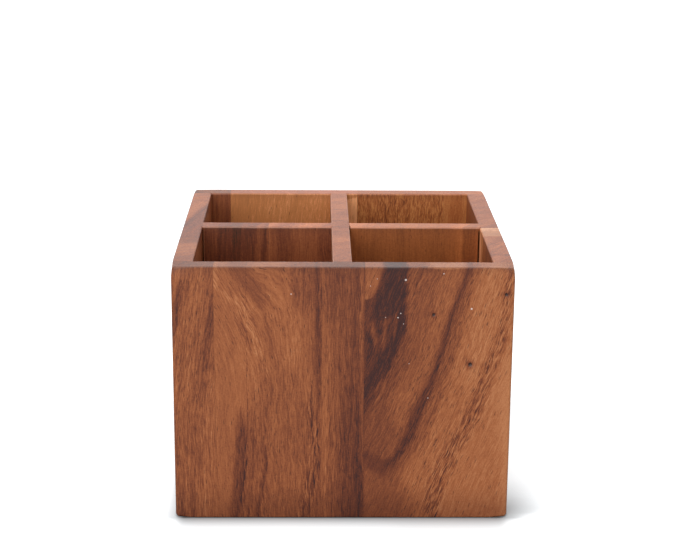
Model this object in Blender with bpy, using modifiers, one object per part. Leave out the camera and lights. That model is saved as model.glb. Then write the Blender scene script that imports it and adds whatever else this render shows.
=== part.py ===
"""Square cutlery caddy of oiled acacia: an open box with four compartments.

Every board is glued up edge to edge from solid staves whose grain stands upright, so
the corners and the divider ends are long-grain glue joints and need no metal. The base
panel sits in a groove round the walls. The groove is stopped in the front and back
boards, so it never shows outside. The two dividers are halved over each other.

Units are metres, +Z is up, the front board faces -Y, and the origin is the middle of
the square that the caddy stands on.
"""

from math import cos, pi, sin

import bmesh
import bpy
from mathutils import Matrix, Vector

# Driving sizes of the whole caddy.
WIDTH = 0.178
DEPTH = 0.178
HEIGHT = 0.140
WALL_THICKNESS = 0.0107
DIVIDER_THICKNESS = 0.0102

# The base panel and the groove that holds it.
BASE_THICKNESS = 0.006
BASE_LIFT = 0.005
GROOVE_DEPTH = 0.004

# Clearances: a glue line between two glued faces, and a sliding fit at the halved joint.
GLUE_LINE = 0.0003
LAP_CLEARANCE = 0.0003

# Each end of the cross divider is cut back below a short lip that still meets the wall.
END_LIP_HEIGHT = 0.0022
END_GAP = 0.0009

# Roundings, left by the sander after the caddy was glued up.
OUTER_ROUND = 0.0017
MOUTH_ROUND = 0.0010
ROUND_STEPS = 4

# How far a cutter runs past the face that it cuts through.
CUT_OVERRUN = 0.003

# Where the glue lines lie, as shares of each board's length, left to right or front to back.
FRONT_JOINT_SHARES = (0.1225, 0.438, 0.563)
BACK_JOINT_SHARES = (0.126, 0.562, 0.861)
LEFT_JOINT_SHARES = (0.317, 0.864)
RIGHT_JOINT_SHARES = (0.343, 0.463)
CENTRE_JOINT_SHARES = (0.167, 0.360, 0.752)
CROSS_JOINT_SHARES = (0.238, 0.500)
BASE_JOINT_SHARES = (0.310, 0.660)

# Where the dividers cross and where they are halved, as shares of the inner length,
# the inner width and their own height.
CROSS_PLACE_SHARE = 0.5
CENTRE_PLACE_SHARE = 0.497
LAP_HEIGHT_SHARE = 0.5

# Sizes that follow from those above.
INNER_LEFT = -WIDTH / 2 + WALL_THICKNESS
INNER_RIGHT = WIDTH / 2 - WALL_THICKNESS
INNER_FRONT = -DEPTH / 2 + WALL_THICKNESS
INNER_BACK = DEPTH / 2 - WALL_THICKNESS
BASE_TOP = BASE_LIFT + BASE_THICKNESS
DIVIDER_BOTTOM = BASE_TOP + GLUE_LINE
LAP_HEIGHT = DIVIDER_BOTTOM + LAP_HEIGHT_SHARE * (HEIGHT - DIVIDER_BOTTOM)
CENTRE_X = INNER_LEFT + CENTRE_PLACE_SHARE * (INNER_RIGHT - INNER_LEFT)
CROSS_Y = INNER_FRONT + CROSS_PLACE_SHARE * (INNER_BACK - INNER_FRONT)

# Outward directions of the faces of a block, and the axes that boards run along.
LEFT = Vector((-1, 0, 0))
RIGHT = Vector((1, 0, 0))
FRONT = Vector((0, -1, 0))
BACK = Vector((0, 1, 0))
TOP = Vector((0, 0, 1))
BOTTOM = Vector((0, 0, -1))
ACROSS = 0
FORWARD = 1

# Least cosine of the angle between two directions that count as the same.
SAME_WAY = 0.9

# Colours of the oiled wood, as sRGB hex, and how matt its surface is.
HEARTWOOD = "5B3A2C"
BROWN = "80503B"
RED_BROWN = "8C5841"
ORANGE_BROWN = "9B6244"
GOLDEN = "A06C42"
SAPWOOD = "C29A72"
OIL_ROUGHNESS = 0.5

FRONT_COLOURS = (BROWN, ORANGE_BROWN, RED_BROWN, ORANGE_BROWN)
BACK_COLOURS = (HEARTWOOD, GOLDEN, RED_BROWN, ORANGE_BROWN)
LEFT_COLOURS = (RED_BROWN, BROWN, ORANGE_BROWN)
RIGHT_COLOURS = (RED_BROWN, SAPWOOD, BROWN)
CENTRE_COLOURS = (BROWN, RED_BROWN, BROWN, ORANGE_BROWN)
CROSS_COLOURS = (HEARTWOOD, BROWN, ORANGE_BROWN)
BASE_COLOURS = (BROWN, RED_BROWN, BROWN)


def clear_scene():
    """Remove every object that is already in the scene."""
    for old in list(bpy.data.objects):
        bpy.data.objects.remove(old, do_unlink=True)


def new_collection(name):
    """An empty collection linked to the scene."""
    collection = bpy.data.collections.new(name)
    bpy.context.scene.collection.children.link(collection)
    return collection


def linear_channel(code):
    """One two-digit sRGB hex channel as the linear value that a shader needs."""
    value = int(code, 16) / 255
    return value / 12.92 if value <= 0.04045 else ((value + 0.055) / 1.055) ** 2.4


def oiled_wood(name, hex_colour):
    """Oiled acacia in one colour."""
    material = bpy.data.materials.new(name)
    material.use_nodes = True
    shader = material.node_tree.nodes["Principled BSDF"]
    channels = [linear_channel(hex_colour[i : i + 2]) for i in (0, 2, 4)]
    shader.inputs["Base Color"].default_value = (*channels, 1.0)
    shader.inputs["Roughness"].default_value = OIL_ROUGHNESS
    shader.inputs["Metallic"].default_value = 0.0
    return material


def round_between(shape, exposed):
    """Mark each edge that lies between two exposed faces, for the Bevel modifier."""
    weights = shape.edges.layers.float.new("bevel_weight_edge")
    shape.normal_update()
    for edge in shape.edges:
        outward = [face.normal for face in edge.link_faces]
        if all(any(normal.dot(side) > SAME_WAY for side in exposed) for normal in outward):
            edge[weights] = 1.0


def add_block(name, low, high, collection, exposed=()):
    """Rectangular block between two corners, with its origin in the middle of its foot."""
    size = high - low
    stand = Matrix.Translation((0, 0, size.z / 2))
    shape = bmesh.new()
    bmesh.ops.create_cube(shape, size=1.0, matrix=stand @ Matrix.Diagonal((*size, 1.0)))
    round_between(shape, exposed)
    mesh = bpy.data.meshes.new(name)
    shape.to_mesh(mesh)
    shape.free()
    block = bpy.data.objects.new(name, mesh)
    block.location = ((low.x + high.x) / 2, (low.y + high.y) / 2, low.z)
    collection.objects.link(block)
    return block


def hide_cutter(cutter):
    """Show a cutter as wires and keep it out of renders."""
    cutter.display_type = "WIRE"
    cutter.hide_render = True


def cutter_block(name, low, high, collection):
    """Rectangular cutter between two corners."""
    cutter = add_block(name, low, high, collection)
    hide_cutter(cutter)
    return cutter


def mouth_cutter(name, low, high, collection):
    """Plug that flares as it rises, to round the rim of one compartment.

    low and high are opposite corners of the compartment's mouth at the rim. The sides of
    the plug follow a quarter circle, from upright at the wall's face to level at the rim.
    """
    rings = [(-CUT_OVERRUN, HEIGHT - MOUTH_ROUND - CUT_OVERRUN)]
    for step in range(ROUND_STEPS + 1):
        angle = step / ROUND_STEPS * pi / 2
        flare = MOUTH_ROUND * (1 - cos(angle))
        drop = MOUTH_ROUND * (1 - sin(angle))
        rings.append((flare, HEIGHT - drop))
    rings.append((MOUTH_ROUND, HEIGHT + CUT_OVERRUN))

    shape = bmesh.new()
    loops = []
    for flare, level in rings:
        corners = (
            (low.x - flare, low.y - flare, level),
            (high.x + flare, low.y - flare, level),
            (high.x + flare, high.y + flare, level),
            (low.x - flare, high.y + flare, level),
        )
        loops.append([shape.verts.new(corner) for corner in corners])
    for below, above in zip(loops[:-1], loops[1:]):
        for i, j in ((0, 1), (1, 2), (2, 3), (3, 0)):
            shape.faces.new((below[i], below[j], above[j], above[i]))
    shape.faces.new(loops[0][::-1])
    shape.faces.new(loops[-1])
    mesh = bpy.data.meshes.new(name)
    shape.to_mesh(mesh)
    shape.free()
    cutter = bpy.data.objects.new(name, mesh)
    collection.objects.link(cutter)
    hide_cutter(cutter)
    return cutter


def add_rounding(piece):
    """Round the edges that were marked when the piece was made."""
    bevel = piece.modifiers.new("sanded edges", "BEVEL")
    bevel.limit_method = "WEIGHT"
    bevel.width = OUTER_ROUND
    bevel.segments = ROUND_STEPS


def cut(piece, cutter):
    """Take a cutter, or a whole collection of cutters, out of a piece."""
    boolean = piece.modifiers.new("cut by " + cutter.name, "BOOLEAN")
    boolean.operation = "DIFFERENCE"
    boolean.solver = "EXACT"
    if isinstance(cutter, bpy.types.Collection):
        boolean.operand_type = "COLLECTION"
        boolean.collection = cutter
    else:
        boolean.object = cutter


def add_panel(name, low, high, along, shares, colours, collection, exposed=(), ends=()):
    """Board between two corners, glued up from staves side by side along one axis.

    exposed are the faces that every stave shows outside, and ends are the two end faces
    of the board where those show too.
    """
    length = high[along] - low[along]
    bounds = (0.0, *shares, 1.0)
    last = len(shares)
    staves = []
    for index, (start, end) in enumerate(zip(bounds[:-1], bounds[1:])):
        stave_low = low.copy()
        stave_high = high.copy()
        shown = list(exposed)
        if index > 0:
            stave_low[along] = low[along] + start * length + GLUE_LINE / 2
        if index < last:
            stave_high[along] = low[along] + end * length - GLUE_LINE / 2
        if ends and index == 0:
            shown.append(ends[0])
        if ends and index == last:
            shown.append(ends[1])
        stave = add_block(f"{name}_{index + 1}", stave_low, stave_high, collection, shown)
        if shown:
            add_rounding(stave)
        stave.data.materials.append(oiled_wood(stave.name + "_wood", colours[index]))
        staves.append(stave)
    return staves


def add_front_and_back(collection):
    """The two boards that run the caddy's full width."""
    front = add_panel(
        "front_stave",
        Vector((-WIDTH / 2, -DEPTH / 2, 0)),
        Vector((WIDTH / 2, INNER_FRONT, HEIGHT)),
        ACROSS,
        FRONT_JOINT_SHARES,
        FRONT_COLOURS,
        collection,
        (FRONT, TOP, BOTTOM),
        (LEFT, RIGHT),
    )
    back = add_panel(
        "back_stave",
        Vector((-WIDTH / 2, INNER_BACK, 0)),
        Vector((WIDTH / 2, DEPTH / 2, HEIGHT)),
        ACROSS,
        BACK_JOINT_SHARES,
        BACK_COLOURS,
        collection,
        (BACK, TOP, BOTTOM),
        (LEFT, RIGHT),
    )
    return front + back


def add_sides(collection):
    """The two boards that butt between the front and the back."""
    front_end = INNER_FRONT + GLUE_LINE
    back_end = INNER_BACK - GLUE_LINE
    left = add_panel(
        "left_side_stave",
        Vector((-WIDTH / 2, front_end, 0)),
        Vector((INNER_LEFT, back_end, HEIGHT)),
        FORWARD,
        LEFT_JOINT_SHARES,
        LEFT_COLOURS,
        collection,
        (LEFT, TOP, BOTTOM),
    )
    right = add_panel(
        "right_side_stave",
        Vector((INNER_RIGHT, front_end, 0)),
        Vector((WIDTH / 2, back_end, HEIGHT)),
        FORWARD,
        RIGHT_JOINT_SHARES,
        RIGHT_COLOURS,
        collection,
        (RIGHT, TOP, BOTTOM),
    )
    return left + right


def add_base(collection):
    """The bottom panel, whose edges reach into the groove all round."""
    reach = GROOVE_DEPTH - GLUE_LINE
    return add_panel(
        "base_stave",
        Vector((INNER_LEFT - reach, INNER_FRONT - reach, BASE_LIFT)),
        Vector((INNER_RIGHT + reach, INNER_BACK + reach, BASE_TOP)),
        ACROSS,
        BASE_JOINT_SHARES,
        BASE_COLOURS,
        collection,
    )


def add_centre_divider(collection):
    """The divider that runs front to back and shows unbroken along the rim."""
    half = DIVIDER_THICKNESS / 2
    return add_panel(
        "centre_divider_stave",
        Vector((CENTRE_X - half, INNER_FRONT + GLUE_LINE, DIVIDER_BOTTOM)),
        Vector((CENTRE_X + half, INNER_BACK - GLUE_LINE, HEIGHT)),
        FORWARD,
        CENTRE_JOINT_SHARES,
        CENTRE_COLOURS,
        collection,
    )


def add_cross_divider(collection):
    """The divider that runs side to side, dropped over the centre one."""
    half = DIVIDER_THICKNESS / 2
    return add_panel(
        "cross_divider_stave",
        Vector((INNER_LEFT + GLUE_LINE, CROSS_Y - half, DIVIDER_BOTTOM)),
        Vector((INNER_RIGHT - GLUE_LINE, CROSS_Y + half, HEIGHT)),
        ACROSS,
        CROSS_JOINT_SHARES,
        CROSS_COLOURS,
        collection,
    )


def reaches_box(piece, low, high):
    """Whether a piece's block reaches into the box between two corners."""
    corners = [piece.location + Vector(corner) for corner in piece.bound_box]
    for axis in range(3):
        values = [corner[axis] for corner in corners]
        if min(values) >= high[axis] or max(values) <= low[axis]:
            return False
    return True


def cut_box(pieces, name, low, high, collection):
    """Cut a box out of the pieces that it reaches."""
    cutter = cutter_block(name, low, high, collection)
    for piece in pieces:
        if reaches_box(piece, low, high):
            cut(piece, cutter)


def groove_walls(walls, collection):
    """Groove round the inside of the walls, as deep as the base panel needs.

    The cutter is a plate. It runs out through the ends of the side boards, which lie
    hidden against the front and back, and stops inside the front and back boards.
    """
    low = Vector((INNER_LEFT, INNER_FRONT, BASE_LIFT))
    high = Vector((INNER_RIGHT, INNER_BACK, BASE_TOP))
    reach = Vector((GROOVE_DEPTH, GROOVE_DEPTH, GLUE_LINE))
    cut_box(walls, "base_groove", low - reach, high + reach, collection)


def halve_dividers(centre, cross, collection):
    """Slot the centre divider from below and the cross divider from above."""
    reach = DIVIDER_THICKNESS / 2 + LAP_CLEARANCE
    under = Vector((CENTRE_X - reach, CROSS_Y - reach, DIVIDER_BOTTOM - CUT_OVERRUN))
    over = Vector((CENTRE_X + reach, CROSS_Y + reach, LAP_HEIGHT + LAP_CLEARANCE / 2))
    cut_box(centre, "slot_from_below", under, over, collection)
    under = Vector((CENTRE_X - reach, CROSS_Y - reach, LAP_HEIGHT - LAP_CLEARANCE / 2))
    over = Vector((CENTRE_X + reach, CROSS_Y + reach, HEIGHT + CUT_OVERRUN))
    cut_box(cross, "slot_from_above", under, over, collection)


def relieve_cross_ends(cross, collection):
    """Cut the cross divider's ends back under their lips, so that a dark gap shows."""
    half = DIVIDER_THICKNESS / 2 + CUT_OVERRUN
    level = HEIGHT - END_LIP_HEIGHT
    for name, wall, inwards in (("left", INNER_LEFT, 1), ("right", INNER_RIGHT, -1)):
        inner = wall + inwards * END_GAP
        outer = wall - inwards * CUT_OVERRUN
        low = Vector((min(inner, outer), CROSS_Y - half, DIVIDER_BOTTOM - CUT_OVERRUN))
        high = Vector((max(inner, outer), CROSS_Y + half, level))
        cut_box(cross, name + "_end_relief", low, high, collection)


def round_mouths(pieces, collection):
    """Round the rim of each of the four compartments."""
    half = DIVIDER_THICKNESS / 2
    columns = ((INNER_LEFT, CENTRE_X - half), (CENTRE_X + half, INNER_RIGHT))
    rows = ((INNER_FRONT, CROSS_Y - half), (CROSS_Y + half, INNER_BACK))
    names = iter(("front_left", "back_left", "front_right", "back_right"))
    for left, right in columns:
        for front, back in rows:
            low = Vector((left, front, HEIGHT - MOUTH_ROUND))
            high = Vector((right, back, HEIGHT))
            plug = mouth_cutter(next(names) + "_mouth", low, high, collection)
            grow = Vector((MOUTH_ROUND, MOUTH_ROUND, 0))
            for piece in pieces:
                if reaches_box(piece, low - grow, high + grow):
                    cut(piece, plug)


def soften_shading(pieces):
    """Shade the roundings smooth and the faces of the boards flat."""
    for piece in pieces:
        piece.data.shade_smooth()
        normals = piece.modifiers.new("flat faces, soft edges", "WEIGHTED_NORMAL")
        normals.keep_sharp = True


def main():
    clear_scene()
    parts = new_collection("cutlery_caddy")
    cutters = new_collection("cutters")
    walls = add_front_and_back(parts) + add_sides(parts)
    base = add_base(parts)
    centre = add_centre_divider(parts)
    cross = add_cross_divider(parts)
    bpy.context.view_layer.update()
    groove_walls(walls, cutters)
    halve_dividers(centre, cross, cutters)
    relieve_cross_ends(cross, cutters)
    round_mouths(walls + centre + cross, cutters)
    soften_shading(walls + base + centre + cross)


main()
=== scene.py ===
"""Square caddy of oiled acacia for cutlery: fine surfaces, wood, light and camera.

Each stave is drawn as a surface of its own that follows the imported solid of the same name.
It closes the clearances of the glue lines, and takes its grain from one procedural wood.
Lengths are metres, except that the wood is drawn in millimetres. +Z is up and the front
board faces -Y.
"""

from typing import NamedTuple

import bmesh
import bpy
import numpy as np
from mathutils import Matrix, Vector


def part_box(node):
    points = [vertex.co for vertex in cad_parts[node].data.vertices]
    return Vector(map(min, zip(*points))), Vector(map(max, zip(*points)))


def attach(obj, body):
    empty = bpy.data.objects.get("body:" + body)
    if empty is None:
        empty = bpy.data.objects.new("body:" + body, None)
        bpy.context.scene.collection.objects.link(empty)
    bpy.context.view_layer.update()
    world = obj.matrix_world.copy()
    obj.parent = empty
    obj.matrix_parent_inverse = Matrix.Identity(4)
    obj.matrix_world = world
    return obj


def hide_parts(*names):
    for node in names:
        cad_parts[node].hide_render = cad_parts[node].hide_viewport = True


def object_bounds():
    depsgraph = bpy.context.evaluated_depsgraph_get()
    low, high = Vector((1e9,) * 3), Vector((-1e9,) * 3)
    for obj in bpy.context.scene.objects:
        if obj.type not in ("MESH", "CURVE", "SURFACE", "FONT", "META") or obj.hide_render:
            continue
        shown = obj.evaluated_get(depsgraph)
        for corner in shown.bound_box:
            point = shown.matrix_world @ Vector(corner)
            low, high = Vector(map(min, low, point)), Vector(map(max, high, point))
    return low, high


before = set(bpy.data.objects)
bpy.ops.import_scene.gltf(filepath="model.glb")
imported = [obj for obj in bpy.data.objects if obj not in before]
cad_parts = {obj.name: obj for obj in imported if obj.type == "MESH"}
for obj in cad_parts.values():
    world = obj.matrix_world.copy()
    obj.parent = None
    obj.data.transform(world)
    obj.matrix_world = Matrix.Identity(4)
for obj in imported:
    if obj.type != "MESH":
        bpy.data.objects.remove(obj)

bl_info = {
    "name": "Acacia cutlery caddy",
    "version": (1, 0, 0),
    "blender": (4, 5, 0),
    "location": "3D View > Sidebar > Caddy",
    "description": "Staves, wood and studio for a square caddy with four compartments",
    "category": "Object",
}

CAD_BOX = [list(corner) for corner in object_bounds()]
CAD_LOW, CAD_HIGH = (np.array(corner) for corner in CAD_BOX)

# Axes: boards run across (X) or forward (Y), and their grain stands up (Z).
ACROSS, FORWARD, UP = 0, 1, 2
MM = 1000.0


def node_span(node, axis):
    """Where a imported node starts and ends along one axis."""
    low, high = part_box(node)
    return low[axis], high[axis]


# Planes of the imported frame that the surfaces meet.
INNER_LEFT = node_span("left_side_stave_1", ACROSS)[1]
INNER_RIGHT = node_span("right_side_stave_1", ACROSS)[0]
INNER_FRONT = node_span("front_stave_1", FORWARD)[1]
INNER_BACK = node_span("back_stave_1", FORWARD)[0]
CENTRE_LEFT, CENTRE_RIGHT = node_span("centre_divider_stave_1", ACROSS)
CROSS_FRONT, CROSS_BACK = node_span("cross_divider_stave_1", FORWARD)
BASE_UNDER, BASE_TOP = node_span("base_stave_1", UP)
BASE_FRONT, BASE_BACK = node_span("base_stave_1", FORWARD)
BASE_LEFT = node_span("base_stave_1", ACROSS)[0]
GROOVE_DEPTH = INNER_LEFT - BASE_LEFT
GROOVE_STOPS = (BASE_LEFT, INNER_RIGHT + GROOVE_DEPTH)
FULL_WIDTH = (float(CAD_LOW[ACROSS]), float(CAD_HIGH[ACROSS]))
RIM = float(CAD_HIGH[UP])
LAP = (BASE_TOP + RIM) / 2

# The mouths of the four compartments: left, right, front and back side of each.
COLUMNS = ((INNER_LEFT, CENTRE_LEFT), (CENTRE_RIGHT, INNER_RIGHT))
ROWS = ((INNER_FRONT, CROSS_FRONT), (CROSS_BACK, INNER_BACK))
MOUTHS = [(*column, *row) for column in COLUMNS for row in ROWS]

# How finely the surfaces are drawn: the steps of a quarter-round, the pitch along a board,
# the steps up a face and through a board, and the places round a knot in its radii.
ROUND_STEPS = 6
PITCH = 0.005
CLIMB_STEPS = 12
THROUGH_STEPS = 4
KNOT_PLACES = np.linspace(-1.8, 1.8, 9)

# Half the run of a jump in height, what is welded to one point, and the decimals kept of
# places in metres and of shares, so that no two of them all but meet.
JUMP = 0.000005
MERGE = 0.000001
PLACE_DECIMALS = 7
SHARE_DECIMALS = 6

# Edges that turn by more than this many radians are drawn sharp.
SHARP_ANGLE = 0.6

# The two slow waves of the hand sanding: radians per metre across and forward, and where
# each starts.
SANDING_WAVES = ((103, 127, 0), (271, -223, 1))

# How far below the rim the chip in the halved joint starts, and how it widens upwards.
CHIP_HEIGHT = 0.007
CHIP_POWER = 1.5

# The sRGB curve: a straight line up to its knee, and a power past it.
SRGB_KNEE = 0.04045
SRGB_SLOPE = 12.92
SRGB_OFFSET = 0.055
SRGB_POWER = 2.4


def linear(code):
    """An sRGB hex colour as the three linear values that a shader needs."""
    values = np.array([int(code[i : i + 2], 16) for i in (0, 2, 4)]) / 255
    low = values / SRGB_SLOPE
    high = ((values + SRGB_OFFSET) / (1 + SRGB_OFFSET)) ** SRGB_POWER
    return tuple(np.where(values <= SRGB_KNEE, low, high).tolist())


# Settings.


def number_property(name, default, low, high, description, **kind):
    """A number that a user would change, between two limits."""
    return bpy.props.FloatProperty(
        name=name, description=description, default=default, min=low, max=high, **kind
    )


def length_property(name, default, low, high, description):
    """A length in metres that a user would change, between two limits."""
    return number_property(name, default, low, high, description, unit="LENGTH")


def colour_property(name, code, description):
    """A colour that a user would change, from its sRGB hex value."""
    return bpy.props.FloatVectorProperty(
        name=name, description=description, default=linear(code), size=3, min=0, max=1, subtype="COLOR"
    )


class CaddyShape(bpy.types.PropertyGroup):
    """Sizes of the sanding and the joints that a user would change."""

    corner_round: length_property(
        "Corner rounding", 0.0017, 0.0002, 0.004, "Radius that the sander left on the four upright edges"
    )
    rim_round: length_property(
        "Rim rounding", 0.0008, 0.0002, 0.004,
        "Radius round the outside of the rim and of the foot, midway along a board",
    )
    corner_ease: number_property(
        "Corner ease", 1.1, 0.0, 3.0, "How many times that radius is added at the four corners of the rim"
    )
    foot_ease: number_property(
        "Foot ease", 2.3, 0.0, 3.0, "How many times that radius is added at the four corners of the foot"
    )
    ease_reach: length_property(
        "Ease reach", 0.006, 0.001, 0.03, "How far from a corner the added radius has mostly died away"
    )
    wear: length_property(
        "Corner wear", 0.0005, 0.0, 0.001,
        "How far each upper corner of the front is dubbed over, inwards and downwards",
    )
    wear_reach: length_property(
        "Wear reach", 0.010, 0.001, 0.03, "How far from a corner, in plan, the wear has mostly died away"
    )
    wear_depth: length_property(
        "Wear depth", 0.004, 0.001, 0.03, "How far below the rim the wear has mostly died away"
    )
    mouth_round: length_property(
        "Mouth rounding", 0.0010, 0.0002, 0.003, "Radius round the mouth of each compartment"
    )
    unevenness: number_property(
        "Unevenness", 0.12, 0.0, 0.4,
        "Share by which the hand-sanded roundings grow and shrink along an edge", subtype="FACTOR",
    )
    seam: length_property("Seam", 0.00004, 0.00001, 0.0003, "Width of a glue line as it shows")
    left_gap: length_property(
        "Left gap", 0.00115, 0.0, 0.002,
        "Gap between the cross divider's left end and the wall, below the lip",
    )
    right_gap: length_property(
        "Right gap", 0.00085, 0.0, 0.002,
        "Gap between the cross divider's right end and the wall, below the lip",
    )
    lip: length_property(
        "Lip", 0.0022, 0.0005, 0.01, "Height of the lip that closes those gaps at the rim"
    )
    chip: length_property(
        "Chip", 0.0006, 0.0, 0.001,
        "Width of the chip beside the halved joint, right of the centre divider",
    )


class CaddyWood(bpy.types.PropertyGroup):
    """Colours and finish of the wood that a user would change."""

    heart: colour_property("Heart", "300E0A", "Darkest streaks of the heartwood")
    cocoa: colour_property("Cocoa", "3C1F0A", "Darkest brown of the cocoa and ochre staves")
    umber: colour_property("Umber", "622C14", "Dark brown of the heartwood")
    russet: colour_property("Russet", "854624", "Middle brown of the heartwood")
    amber: colour_property("Amber", "A25D33", "Light orange brown of the heartwood")
    straw: colour_property("Straw", "BA784C", "Lightest strips of the heartwood")
    tan: colour_property("Tan", "84471E", "Middle brown of the ochre staves")
    ochre: colour_property("Ochre", "A65D2C", "Light brown of the ochre staves")
    wheat: colour_property("Wheat", "C17B43", "Lightest strips of the ochre staves")
    honey_dark: colour_property("Honey shade", "A5693A", "Darker grain of the golden stave")
    honey: colour_property("Honey", "C47C46", "Main colour of the golden stave")
    # Its lightness also serves the painted light on the golden stave's strip beside the centre divider.
    honey_light: colour_property("Honey light", "FFB47A", "Lightest grain of the golden stave")
    sap_dark: colour_property("Sapwood shade", "AC663D", "Darker grain of the sapwood")
    sap: colour_property("Sapwood", "C87D4E", "Main colour of the sapwood")
    sap_light: colour_property("Sapwood light", "FFB27C", "Lightest grain of the sapwood")
    roughness: number_property(
        "Roughness", 0.42, 0.0, 1.0, "How matt the oiled, sanded face is", subtype="FACTOR"
    )


class CaddyStudio(bpy.types.PropertyGroup):
    """Light and floor that a user would change."""

    sky: number_property("Sky", 0.38, 0.0, 2.0, "Strength of the even white light from all round")
    top_lamp: number_property(
        "Top lamp", 32.0, 0.0, 200.0,
        "Power of the soft lamp overhead, a little behind and to the left", unit="POWER",
    )
    front_lamp: number_property(
        "Front lamp", 30.0, 0.0, 200.0, "Power of the wide soft lamp at the camera's side", unit="POWER"
    )
    floor: colour_property("Floor", "B6BBBE", "Colour of the pale floor")


# What the wood of one stave looks like. Places and sizes in it are millimetres.


class Streak(NamedTuple):
    """A drawn patch of grain.

    line holds (height, place across the board, half width) from the foot upwards, and soft
    is how far its edge fades. Inside it, tone is the shade from 0, dark, to 1, light, pores
    the share of the pores that shows and fibre the contrast of the fine lines. None keeps
    what is there, and strength says how fully the streak covers it.
    """

    line: tuple
    soft: float = 1.0
    tone: float = None
    pores: float = None
    fibre: float = None
    strength: float = 1.0


class Spot(NamedTuple):
    """A pin knot or a speck of filler: its place across the board, its height, radius and depth."""

    place: float
    height: float
    radius: float
    depth: float = 0.0


class Figure(NamedTuple):
    """The grain of one stave.

    tone is its shade. swing, streaky and fibre are how far broad, narrow and hair-fine
    streaks depart from it. pores is the share of the pores that shows and pore_size how
    large they are. ramp names its colours. rim is the brightness of its end grain beside
    its faces, and rim_tint the cast. length is how drawn-out its streaks are, and curl how
    far the interlocked grain sways, in millimetres. slant is how far the rings move
    sideways per millimetre of depth, and wander how far they stray. lean holds (height,
    shift) pairs that say how far the grain has leaned sideways there, and reach the two
    places across the board between which that lean dies away. profile holds (place, tone)
    pairs across the grain. Streaks are laid over one another in their order.
    """

    tone: float = 0.5
    swing: float = 0.10
    streaky: float = 0.06
    fibre: float = 0.08
    pores: float = 0.6
    pore_size: float = 1.0
    ramp: str = "acacia"
    rim: float = 0.8
    rim_tint: tuple = (0.95, 0.97, 1.0)
    length: float = 1.0
    curl: float = 0.3
    slant: float = 0.5
    wander: float = 8.0
    lean: tuple = ((0, 0), (140, 0))
    reach: tuple = None
    profile: tuple = None
    streaks: tuple = ()
    knots: tuple = ()
    specks: tuple = ()


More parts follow.
